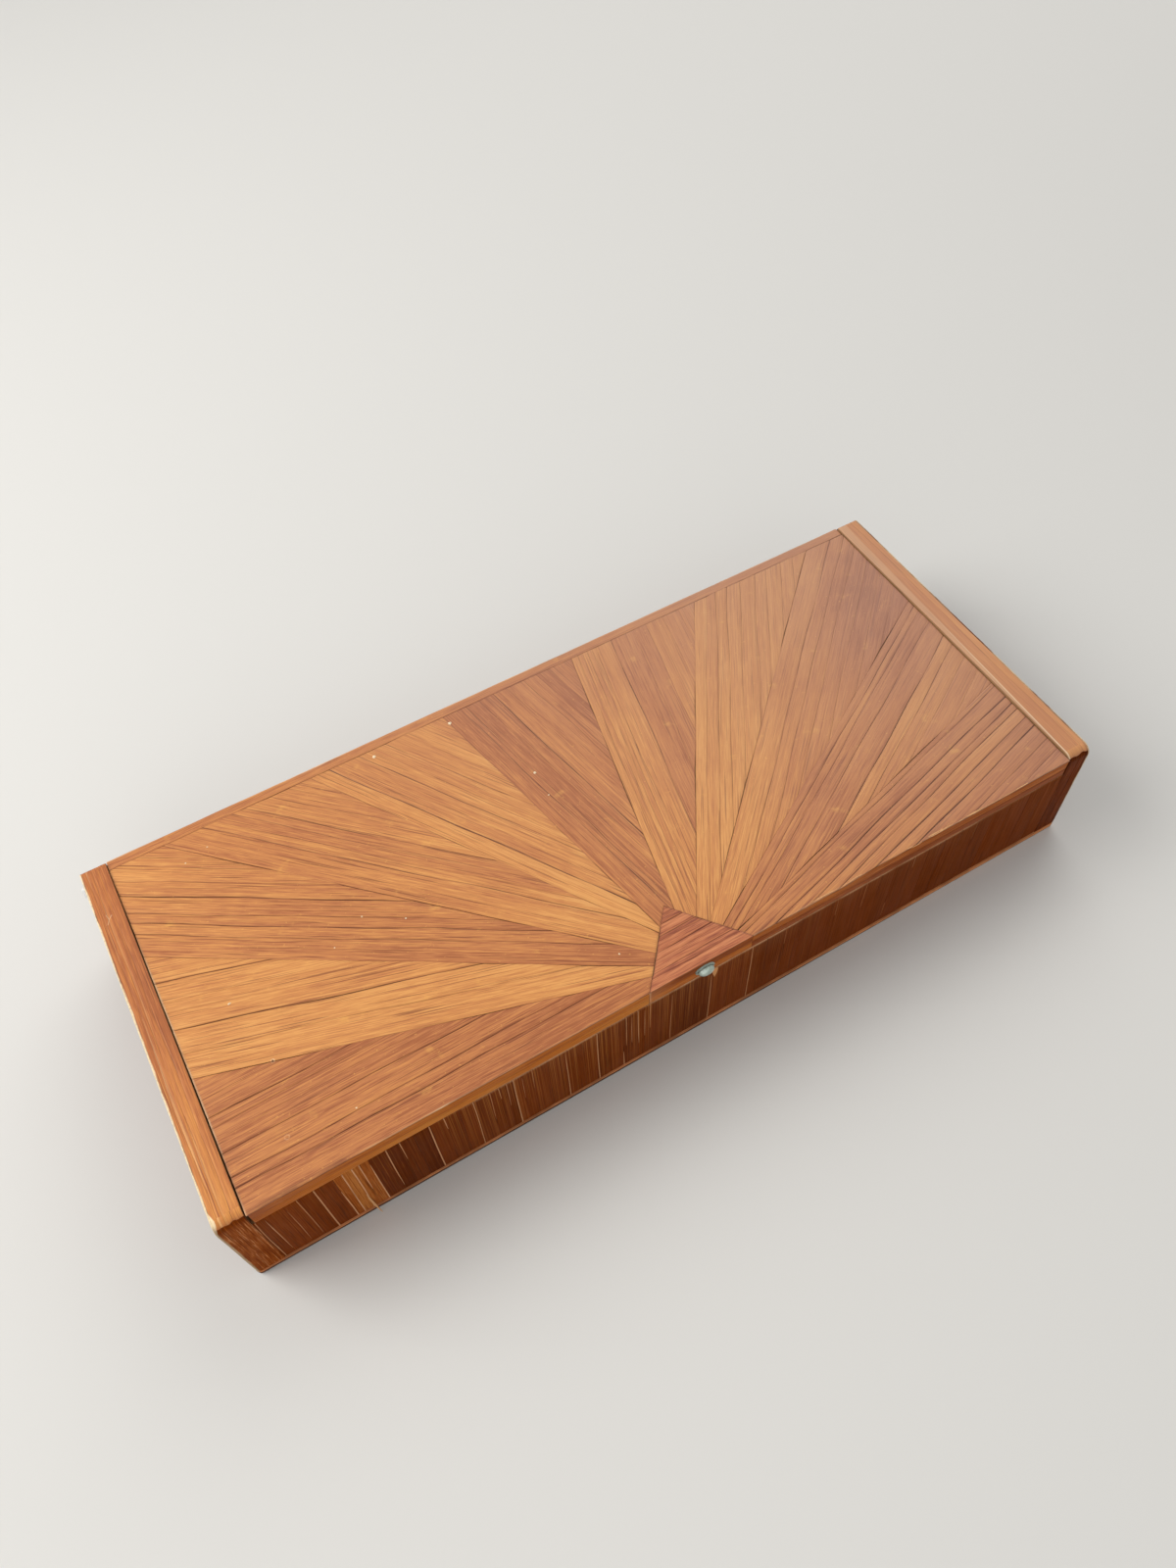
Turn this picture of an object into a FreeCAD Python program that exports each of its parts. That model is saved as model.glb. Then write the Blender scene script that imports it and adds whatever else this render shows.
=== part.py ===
import FreeCAD, Part
import os
import re

import Sketcher

# Straw marquetry box with a lid that turns on two pins, in millimetres.
# The origin is the middle of the base board's underside, +X runs along the box to the right,
# +Y to the back and +Z up. The lid is shut.

# Driving dimensions
SIZES = {
    "box_length": 220.0,  # over the straw on the two end faces
    "box_width": 92.0,  # over the straw on the front and the back
    "box_height": 34.0,  # floor to the top of the cheeks
    "straw": 0.4,  # flattened straw, glued on everywhere outside
    "cheek": 6.2,  # end board with the straw on its outer face
    "cheek_round": 2.0,  # radius of a cheek's top corner at the front, in the wood
    "cheek_back_round": 0.6,  # the same at the back, where the corner is nearly square
    "wall": 5.0,  # front and back wall boards
    "base": 1.5,  # board under the walls and cheeks
    "base_ledge": 0.3,  # how far the base board stands out all round
    "base_corner": 1.2,  # radius of the base board's corners
    "lining": 0.3,  # paper inside
    "lining_margin": 1.5,  # bare wood left above and around the paper
    "lid_board": 5.4,  # lid's board without straw and paper
    "lid_drop": 0.5,  # lid's face below the top of the cheeks
    "lid_setback": 0.1,  # lid's front edge behind the front straw's face
    "lid_overhang": 0.4,  # lid's back edge past the back straw's face
    "lid_round": 0.4,  # radius of the lid's back corners in the wood
    "lid_strip": 2.9,  # width of the straw strip along the lid's back edge, seen from above
    "lid_left_gap": 0.6,  # between the lid and the left cheek
    "lid_right_gap": 0.3,  # between the lid and the right cheek
    "lid_swing_gap": 0.3,  # under the lid's back corners as they pass over the back wall
    "root_left": 12.8,  # sunburst's root triangle: left corner, left of the middle
    "root_right": 13.6,  # right corner, right of the middle
    "root_peak": 0.7,  # apex, right of the middle
    "root_depth": 16.2,  # apex, behind the lid's front edge
    "pin_diameter": 1.6,
    "pin_reach": 12.0,  # length of pin inside the lid
    "pin_head_diameter": 3.4,
    "pin_head": 1.2,  # height of the domed head
    "pin_seat_fit": 0.02,  # round the pin in the cheek
    "pin_running_fit": 0.05,  # round the pin in the lid
    "bore_spare": 0.5,  # past the pin's tip
    "knob_length": 5.0,
    "knob_height": 3.2,
    "knob_stand": 1.8,  # how far the knob stands out of the lid's edge
    "knob_offset": 1.1,  # right of the middle
    "knob_rise": 0.3,  # above the middle of the lid's edge
    "knob_shank_diameter": 1.2,
    "knob_shank": 6.0,  # shank behind the knob
    "brad_diameter": 1.0,
    "brad_reach": 8.0,  # length of brad in the far board
    "brad_head_diameter": 2.0,
    "brad_head": 0.4,
    "brad_sink": 0.2,  # head below the board's face
    "nail_fit": 0.02,  # round the brads and the knob's shank
    "overrun": 1.0,  # how far a cutting tool passes the face that it starts from
}

# Planes that the pieces share
PLACES = {
    "end_face": "box_length / 2",
    "cheek_outer": "end_face - straw",
    "cheek_inner": "end_face - cheek",
    "side_face": "box_width / 2",
    "wood_side": "side_face - straw",
    "wall_inner": "wood_side - wall",
    "cheek_top": "box_height - straw",
    "front_round_start": "-(wood_side - cheek_round)",
    "back_round_start": "wood_side - cheek_back_round",
    "lid_left": "-(cheek_inner - lid_left_gap)",
    "lid_right": "cheek_inner - lid_right_gap",
    "lid_front": "-(side_face - lid_setback)",
    "lid_back": "side_face + lid_overhang",
    "strip_start": "lid_back - lid_strip",
    "board_top": "box_height - lid_drop - straw",
    "board_low": "board_top - lid_board",
    "hinge_y": "wood_side - lid_board / 2",
    "hinge_z": "board_top - lid_board / 2",
    "lid_corner": "lid_round + straw",
    "corner_y": "lid_back - lid_corner - hinge_y",
    "corner_z": "lid_board / 2 + straw - lid_corner",
    "lid_swing": "(corner_y ^ 2 + corner_z ^ 2) ^ 0.5 + lid_corner",
    "front_top": "board_low - lining",
    "back_top": "hinge_z - lid_swing - lid_swing_gap",
    "floor_top": "base + lining",
    "brad_row": "wood_side - wall / 2",
    "cheek_middle": "cheek_inner + (cheek - straw) / 2",
}

# Sunburst: where each boundary between two rays leaves the root triangle, as a share of the way from
# the triangle's corner to its apex, and where it ends on the border, as a share of the way from the
# front to the back or from the left to the right. Both run clockwise from the front left.
LEFT_FOOT_SHARES = (0.184, 0.295, 0.447, 0.682, 0.751)
RIGHT_FOOT_SHARES = (0.876, 0.627, 0.474, 0.336, 0.170)
LEFT_END_SHARES = (0.354, 0.715)
BACK_END_SHARES = (0.060, 0.239, 0.411, 0.588, 0.769, 0.943)
RIGHT_END_SHARES = (0.674, 0.311)

# Brads: up the walls' ends, along the walls and along the cheeks
BRAD_HEIGHT_SHARES = (0.25, 0.75)
BRAD_LENGTH_SHARES = (-0.8, 0.0, 0.8)

RIGHT = FreeCAD.Vector(1, 0, 0)
LEFT = FreeCAD.Vector(-1, 0, 0)
FRONT = FreeCAD.Vector(0, -1, 0)
BACK = FreeCAD.Vector(0, 1, 0)
UP = FreeCAD.Vector(0, 0, 1)

doc = FreeCAD.newDocument("straw_box")
sheet = doc.addObject("Spreadsheet::Sheet", "Sizes")
for row, (name, value) in enumerate(SIZES.items(), start=1):
    sheet.set(f"A{row}", name)
    sheet.set(f"B{row}", str(value))
    sheet.setAlias(f"B{row}", name)
doc.recompute()

pieces = []


def formula(text):
    """Expression in the sheet's cells for a text that names sizes and places."""

    def cell(match):
        name = match.group()
        if name in SIZES:
            return "Sizes." + name
        return "(" + formula(PLACES[name]) + ")"

    return re.sub("[a-z_]+", cell, text)


def piece(thing, label):
    """Keep a document object as one of the box's sub-parts."""
    thing.Label = label
    pieces.append(thing)
    return thing


def move(thing, place):
    for axis, text in zip("xyz", place):
        thing.setExpression("Placement.Base." + axis, formula(text))


def block(name, low, high):
    """Box between two corners."""
    box = doc.addObject("Part::Box", name)
    for side, start, end in zip(("Length", "Width", "Height"), low, high):
        box.setExpression(side, formula(f"({end}) - ({start})"))
    move(box, low)
    return box


def rod(name, radius, length, start, way):
    """Cylinder from start, along the unit vector way."""
    bar = doc.addObject("Part::Cylinder", name)
    bar.Placement = FreeCAD.Placement(FreeCAD.Vector(), FreeCAD.Rotation(UP, way))
    bar.setExpression("Radius", formula(radius))
    bar.setExpression("Height", formula(length))
    move(bar, start)
    return bar


def dome(name, length, height, stand, place, turn):
    """Half of an ellipsoid, its flat side at place, its peak along +Z before turn."""
    cap = doc.addObject("Part::Ellipsoid", name)
    cap.Placement = FreeCAD.Placement(FreeCAD.Vector(), turn)
    cap.Angle1 = 0
    cap.setExpression("Radius1", formula(stand))
    cap.setExpression("Radius2", formula(f"({length}) / 2"))
    cap.setExpression("Radius3", formula(f"({height}) / 2"))
    move(cap, place)
    return cap


def combine(kind, name, base, tool):
    result = doc.addObject("Part::" + kind, name)
    result.Base = base
    result.Tool = tool
    return result


def group(name, members):
    compound = doc.addObject("Part::Compound", name)
    compound.Links = members
    return compound


def sketch_on(body, role):
    """Empty sketch on one of the body's own origin planes."""
    plane = next(one for one in body.Origin.OriginFeatures if one.Role == role)
    sketch = body.newObject("Sketcher::SketchObject", body.Name + "_outline")
    sketch.AttachmentSupport = (plane, [""])
    sketch.MapMode = "FlatFace"
    return sketch


def hold(sketch, kind, *where, text):
    """Constraint whose value follows a formula."""
    number = sketch.addConstraint(Sketcher.Constraint(kind, *where, 1.0))
    sketch.setExpression(f"Constraints[{number}]", formula(text))


def polygon(sketch, corners):
    """Closed outline through corners that are given as formulas."""
    count = len(corners)
    spots = [FreeCAD.Vector(turn, turn * turn, 0) for turn in range(count)]
    for number in range(count):
        sketch.addGeometry(Part.LineSegment(spots[number], spots[number - count + 1]))
    for number in range(count):
        sketch.addConstraint(Sketcher.Constraint("Coincident", number, 2, (number + 1) % count, 1))
    for number, (across, along) in enumerate(corners):
        hold(sketch, "DistanceX", -1, 1, number, 1, text=across)
        hold(sketch, "DistanceY", -1, 1, number, 1, text=along)


def padded(name, role, corners, thickness, place):
    """Body with a polygon on an origin plane, padded to a thickness."""
    body = doc.addObject("PartDesign::Body", name)
    sketch = sketch_on(body, role)
    polygon(sketch, corners)
    pad = body.newObject("PartDesign::Pad", name + "_pad")
    pad.Profile = sketch
    pad.setExpression("Length", formula(thickness))
    move(body, place)
    doc.recompute()
    return body


def runs_along(edge, way):
    """Whether a straight edge is parallel to the unit vector way."""
    turn = edge.tangentAt(edge.FirstParameter).cross(way)
    return turn.isEqual(FreeCAD.Vector(), Part.Precision.confusion())


def rounded(body, radius, chosen):
    """Fillet the body's edges that chosen picks."""
    pad = body.Tip
    edges = pad.Shape.Edges
    names = [f"Edge{number}" for number, edge in enumerate(edges, start=1) if chosen(edge)]
    fillet = body.newObject("PartDesign::Fillet", body.Name + "_round")
    fillet.Base = (pad, names)
    fillet.setExpression("Radius", formula(radius))
    doc.recompute()
    return body


def cheek_form(name, low_x, thickness, grow):
    """Upright board seen from its end, with both top corners rounded, grown by a straw's thickness."""
    back = f"wood_side + {grow}"
    front = f"-({back})"
    top = f"cheek_top + {grow}"
    corners = ((front, "base"), (back, "base"), (back, top), (front, top))
    body = padded(name, "YZ_Plane", corners, thickness, (low_x, "0", "0"))
    middle = body.Tip.Shape.BoundBox.Center

    def along_top(edge):
        return runs_along(edge, RIGHT) and edge.CenterOfMass.z > middle.z

    def top_front(edge):
        return along_top(edge) and edge.CenterOfMass.y < middle.y

    def top_back(edge):
        return along_top(edge) and edge.CenterOfMass.y > middle.y

    rounded(body, f"cheek_round + {grow}", top_front)
    return rounded(body, f"cheek_back_round + {grow}", top_back)


def nail(name, start, way, length, fit, lead):
    """Headed brad that starts at its head's outer face; fit and lead make the hole for one instead."""
    shift = [f"({text}) - ({part}) * ({lead})" for text, part in zip(start, way)]
    head = rod(name + "_head", f"brad_head_diameter / 2 + {fit}", f"brad_head + {lead}", shift, way)
    shank = rod(name + "_shank", f"brad_diameter / 2 + {fit}", length, start, way)
    return combine("Fuse", name, head, shank)


def brad_spots():
    """Name, head's place, direction and length of each brad in the cheeks, then in the base board."""
    cheek_spots = []
    base_spots = []
    cheek_length = "cheek - straw - brad_sink + brad_reach"
    base_length = "base - brad_sink + brad_reach"
    for side, sign, way in (("left", "-", RIGHT), ("right", "", LEFT)):
        for row, across in (("front", "-brad_row"), ("back", "brad_row")):
            for number, share in enumerate(BRAD_HEIGHT_SHARES, start=1):
                start = (f"{sign}(cheek_outer - brad_sink)", across, f"base + {share} * (back_top - base)")
                cheek_spots.append((f"{side}_{row}_brad_{number}", start, way, cheek_length))
        start = (f"{sign}cheek_middle", "0", "brad_sink")
        base_spots.append((f"{side}_base_brad", start, UP, base_length))
    for row, across in (("front", "-brad_row"), ("back", "brad_row")):
        for number, share in enumerate(BRAD_LENGTH_SHARES, start=1):
            start = (f"{share} * cheek_inner", across, "brad_sink")
            base_spots.append((f"base_{row}_brad_{number}", start, UP, base_length))
    return cheek_spots, base_spots


def make_nails():
    """Both groups of brads, and all the holes in the carcass."""
    cheek_spots, base_spots = brad_spots()
    for label, spots in (("cheek_brads", cheek_spots), ("base_brads", base_spots)):
        brads = [nail(*spot, "0", "0") for spot in spots]
        piece(group(label, brads), label)
    holes = []
    for name, start, way, length in cheek_spots + base_spots:
        holes.append(nail(name + "_hole", start, way, length, "nail_fit", "brad_sink + overrun"))
    return group("brad_holes", holes)


def make_pins():
    """Headed pins in the cheeks, and the holes that they need in the cheeks and in the lid."""
    cheek_holes = {}
    lid_holes = []
    for side, sign, way in (("left", "-", RIGHT), ("right", "", LEFT)):
        name = side + "_hinge_pin"
        head_place = (sign + "end_face", "hinge_y", "hinge_z")
        turn = FreeCAD.Rotation(UP, way.negative())
        head = dome(name + "_head", "pin_head_diameter", "pin_head_diameter", "pin_head", head_place, turn)
        gap = f"lid_{side}_gap"
        shank = rod(name + "_shank", "pin_diameter / 2", f"cheek + {gap} + pin_reach", head_place, way)
        piece(combine("Fuse", name, head, shank), name)
        outside = (f"{sign}(end_face + overrun)", "hinge_y", "hinge_z")
        seat = "pin_diameter / 2 + pin_seat_fit"
        cheek_holes[side] = rod(side + "_pin_hole", seat, "cheek + 2 * overrun", outside, way)
        mouth = (f"{sign}cheek_inner", "hinge_y", "hinge_z")
        bore = "pin_diameter / 2 + pin_running_fit"
        depth = f"{gap} + pin_reach + bore_spare"
        lid_holes.append(rod(side + "_lid_bore", bore, depth, mouth, way))
    return cheek_holes, lid_holes


def make_case(brad_holes, pin_holes):
    """Base board, walls and cheeks of bare wood; gives the cheeks' forms before drilling."""
    reach = "end_face + base_ledge"
    depth = "side_face + base_ledge"
    left = f"-({reach})"
    front = f"-({depth})"
    corners = ((left, front), (reach, front), (reach, depth), (left, depth))
    base = padded("base_blank", "XY_Plane", corners, "base", ("0", "0", "0"))
    rounded(base, "base_corner", lambda edge: runs_along(edge, UP))
    piece(combine("Cut", "base_board", base, brad_holes), "base_board")
    walls = (
        ("front_wall", ("-cheek_inner", "-wood_side", "base"), ("cheek_inner", "-wall_inner", "front_top")),
        ("back_wall", ("-cheek_inner", "wall_inner", "base"), ("cheek_inner", "wood_side", "back_top")),
    )
    for label, low, high in walls:
        piece(combine("Cut", label, block(label + "_blank", low, high), brad_holes), label)
    blanks = {}
    for side, low_x in (("left", "-cheek_outer"), ("right", "cheek_inner")):
        blanks[side] = cheek_form(side + "_blank", low_x, "cheek - straw", "0")
        holes = group(side + "_holes", [brad_holes, pin_holes[side]])
        piece(combine("Cut", side + "_cheek", blanks[side], holes), side + "_cheek")
    return blanks


def make_case_straw(blanks, pin_holes):
    """Straw on the outside of the case."""
    sheets = (
        ("front_straw", ("-cheek_inner", "-side_face", "base"), ("cheek_inner", "-wood_side", "front_top")),
        ("back_straw", ("-cheek_inner", "wood_side", "base"), ("cheek_inner", "side_face", "back_top")),
    )
    for label, low, high in sheets:
        piece(block(label, low, high), label)
    sides = (
        ("left", "-end_face", "-cheek_outer", "-cheek_inner"),
        ("right", "cheek_outer", "cheek_inner", "cheek_outer"),
    )
    for side, skin_x, low_x, high_x in sides:
        skin = cheek_form(side + "_skin", skin_x, "straw", "straw")
        piece(combine("Cut", side + "_end_straw", skin, pin_holes[side]), side + "_end_straw")
        outer = cheek_form(side + "_wrap_outer", low_x, "cheek - straw", "straw")
        wrap = combine("Cut", side + "_wrap", outer, blanks[side])
        stretches = (
            ("front", "-side_face", "front_round_start"),
            ("cap", "front_round_start", "back_round_start"),
            ("back", "back_round_start", "side_face"),
        )
        for stretch, near, far in stretches:
            label = f"{side}_cheek_{stretch}_straw"
            span = block(label + "_span", (low_x, near, "base"), (high_x, far, "box_height"))
            piece(combine("Common", label, wrap, span), label)


def make_lining():
    """Paper on the floor and up the four inner faces."""
    floor_low = ("-cheek_inner", "-wall_inner", "base")
    floor_high = ("cheek_inner", "wall_inner", "floor_top")
    piece(block("floor_lining", floor_low, floor_high), "floor_lining")
    top = "back_top - lining_margin"
    inset = "cheek_inner - lining"
    sheets = (
        ("front_lining", ("-cheek_inner", "-wall_inner"), ("cheek_inner", "-wall_inner + lining")),
        ("back_lining", ("-cheek_inner", "wall_inner - lining"), ("cheek_inner", "wall_inner")),
        ("left_lining", ("-cheek_inner", "-wall_inner + lining"), (f"-({inset})", "wall_inner - lining")),
        ("right_lining", (inset, "-wall_inner + lining"), ("cheek_inner", "wall_inner - lining")),
    )
    for label, low, high in sheets:
        piece(block(label, (*low, "floor_top"), (*high, top)), label)


def lid_form(name, front, grow):
    """Level board from front to the lid's back edge, its back corners rounded, grown by a straw's thickness."""
    back = f"lid_back - straw + {grow}"
    low = f"board_low - {grow}"
    top = f"board_top + {grow}"
    corners = ((front, low), (back, low), (back, top), (front, top))
    body = padded(name, "YZ_Plane", corners, "lid_right - lid_left", ("lid_left", "0", "0"))
    middle = body.Tip.Shape.BoundBox.Center

    def along_back(edge):
        return runs_along(edge, RIGHT) and edge.CenterOfMass.y > middle.y

    return rounded(body, f"lid_round + {grow}", along_back)


def make_lid_board(holes):
    """Lid's board of bare wood; gives its form before drilling."""
    blank = lid_form("lid_blank", "lid_front + straw", "0")
    piece(combine("Cut", "lid_board", blank, group("lid_holes", holes)), "lid_board")
    return blank


def between(start, end, share):
    """Formulas of the point that lies a share of the way from start to end."""
    return tuple(f"({a}) + {share} * (({b}) - ({a}))" for a, b in zip(start, end))


def make_sunburst():
    """Eleven rays and the triangle at their root, on the lid's upper face."""
    front_left = ("lid_left", "lid_front")
    front_right = ("lid_right", "lid_front")
    back_left = ("lid_left", "strip_start")
    back_right = ("lid_right", "strip_start")
    root_left = ("-root_left", "lid_front")
    root_right = ("root_right", "lid_front")
    peak = ("root_peak", "lid_front + root_depth")
    feet = [root_left]
    feet += [between(root_left, peak, share) for share in LEFT_FOOT_SHARES]
    feet += [between(root_right, peak, share) for share in RIGHT_FOOT_SHARES]
    feet.append(root_right)
    ends = [front_left]
    ends += [between(front_left, back_left, share) for share in LEFT_END_SHARES]
    ends += [between(back_left, back_right, share) for share in BACK_END_SHARES]
    ends += [between(front_right, back_right, share) for share in RIGHT_END_SHARES]
    ends.append(front_right)
    # A ray that turns round the triangle's apex or fills a back corner has one corner more
    peak_ray = len(LEFT_FOOT_SHARES) + 1
    left_ray = len(LEFT_END_SHARES) + 1
    right_ray = left_ray + len(BACK_END_SHARES)
    far_corners = {left_ray: [back_left], right_ray: [back_right]}
    level = ("0", "0", "board_top")
    for number in range(1, len(feet)):
        near = [peak] if number == peak_ray else []
        far = far_corners.get(number, [])
        corners = [feet[number - 1], *near, feet[number], ends[number], *far, ends[number - 1]]
        label = f"lid_ray_{number:02d}"
        piece(padded(label, "XY_Plane", corners, "straw", level), label)
    root = padded("lid_root_straw", "XY_Plane", (root_left, root_right, peak), "straw", level)
    piece(root, "lid_root_straw")


def make_lid_edges(blank, knob_hole):
    """Straw round the back edge and along the front edge, and the paper under the lid."""
    outer = lid_form("back_wrap", "strip_start", "straw")
    piece(combine("Cut", "lid_back_straw", outer, blank), "lid_back_straw")
    strips = (
        ("left", "lid_left", "-root_left"),
        ("centre", "-root_left", "root_right"),
        ("right", "root_right", "lid_right"),
    )
    for part, start, end in strips:
        label = "lid_front_straw_" + part
        low = (start, "lid_front", "board_low")
        high = (end, "lid_front + straw", "board_top")
        piece(combine("Cut", label, block(label + "_strip", low, high), knob_hole), label)
    low = ("lid_left + lining_margin", "lid_front + straw + lining_margin", "front_top")
    high = ("lid_right - lining_margin", "hinge_y - lining_margin", "board_low")
    piece(block("lid_lining", low, high), "lid_lining")


def make_knob():
    """Oval stud on a shank in the middle of the lid's front edge, and the hole for its shank."""
    height = "hinge_z + knob_rise"
    place = ("knob_offset", "lid_front", height)
    head = dome("knob_head", "knob_length", "knob_height", "knob_stand", place, FreeCAD.Rotation(UP, FRONT))
    shank = rod("knob_shank", "knob_shank_diameter / 2", "knob_shank", place, BACK)
    piece(combine("Fuse", "lift_knob", head, shank), "lift_knob")
    mouth = ("knob_offset", "lid_front - overrun", height)
    return rod("knob_hole", "knob_shank_diameter / 2 + nail_fit", "knob_shank + overrun", mouth, BACK)


def check_and_write():
    """Stop on a failed object or a bad solid, then write one file for each sub-part."""
    doc.recompute()
    failed = [thing.Label for thing in doc.Objects if {"Invalid", "Error"} & set(thing.State)]
    bad = [one.Label for one in pieces if one.Shape.isNull() or not one.Shape.isValid()]
    if failed or bad:
        raise RuntimeError(f"failed objects {failed}, bad shapes {bad}")
    os.makedirs("parts", exist_ok=True)
    for one in pieces:
        one.Shape.exportStep(f"parts/{one.Label}.step")


brad_tools = make_nails()
pin_tools, lid_bores = make_pins()
cheek_blanks = make_case(brad_tools, pin_tools)
make_case_straw(cheek_blanks, pin_tools)
make_lining()
knob_tool = make_knob()
lid_blank = make_lid_board([*lid_bores, knob_tool])
make_sunburst()
make_lid_edges(lid_blank, knob_tool)
check_and_write()
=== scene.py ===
"""Looks of an antique straw marquetry box: laid straw, wood, paper, metal, light and camera.

Everything is in metres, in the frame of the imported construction.
"""

import math
import random

import bmesh
import bpy
import numpy as np
from mathutils import Matrix, Vector


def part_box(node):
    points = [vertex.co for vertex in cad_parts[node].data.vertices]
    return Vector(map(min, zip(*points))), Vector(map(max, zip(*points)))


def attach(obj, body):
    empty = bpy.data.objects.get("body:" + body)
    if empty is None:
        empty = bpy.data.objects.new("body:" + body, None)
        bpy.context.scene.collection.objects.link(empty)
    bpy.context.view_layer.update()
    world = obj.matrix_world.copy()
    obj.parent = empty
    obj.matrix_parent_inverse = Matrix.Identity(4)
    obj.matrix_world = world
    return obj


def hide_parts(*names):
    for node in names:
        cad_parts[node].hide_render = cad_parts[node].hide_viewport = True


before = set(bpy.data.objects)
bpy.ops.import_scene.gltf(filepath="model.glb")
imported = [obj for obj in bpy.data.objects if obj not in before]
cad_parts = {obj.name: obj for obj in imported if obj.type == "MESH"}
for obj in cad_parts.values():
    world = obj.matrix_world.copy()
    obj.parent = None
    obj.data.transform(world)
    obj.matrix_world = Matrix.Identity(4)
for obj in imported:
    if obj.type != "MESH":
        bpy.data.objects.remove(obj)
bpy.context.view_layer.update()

MM = 0.001
# Places closer than this count as one
TOUCH = 0.01 * MM

# Measures of the construction
FRONT_LOW, FRONT_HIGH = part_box("front_straw")
BACK_LOW, BACK_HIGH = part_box("back_straw")
LID_LOW, LID_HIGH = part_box("lid_board")
WRAP_LOW, WRAP_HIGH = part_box("lid_back_straw")
ROOT_LOW, ROOT_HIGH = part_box("lid_root_straw")
KNOB_LOW, KNOB_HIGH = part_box("lift_knob")
BASE_LOW, BASE_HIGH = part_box("base_board")
END_LOW, END_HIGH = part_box("right_end_straw")
CAP_LOW, CAP_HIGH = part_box("right_cheek_cap_straw")
STRAW = FRONT_HIGH.y - FRONT_LOW.y
LID_TOP = ROOT_LOW.z
LID_FRONT = ROOT_LOW.y
CHEEK_ARCS = {"front": CAP_LOW.y, "back": CAP_HIGH.y}
CHEEK_RADII = {"front": CAP_LOW.y - END_LOW.y, "back": END_HIGH.y - CAP_HIGH.y}
RAY_COUNT = sum(name.startswith("lid_ray_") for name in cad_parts)

# How straw lies
SIDE_SOFTENING = 0.13 * MM
END_SOFTENING = 0.2 * MM
SIDE_DROP_SHARE = 0.05
SEAM_DROP_SHARE = 0.32
END_DROP_SHARE = 0.22
CROWN_SHARE = 0.05
UNEVEN_SHARE = 0.06
STATION_STEP = 6 * MM
SEAM_GAP = 0.015 * MM
SEAM_OPENING = 0.08 * MM
SEAM_WAVER = 0.25 * MM
BORDER_DARK = 0.35
CUT_GAP = 0.03 * MM
SPLIT_WIDTH = 0.25 * MM
TONE_KEPT = 0.42
OVERHANG_FRONT, OVERHANG_BACK = 0.28 * MM, 0.46 * MM
FRAY_COUNT = 16
SHARP_ANGLE = math.radians(38)

# Straw tones, from pale to dark
GOLD, HONEY, TAN, BROWN, RUSSET = 0.12, 0.32, 0.52, 0.74, 0.92

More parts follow.
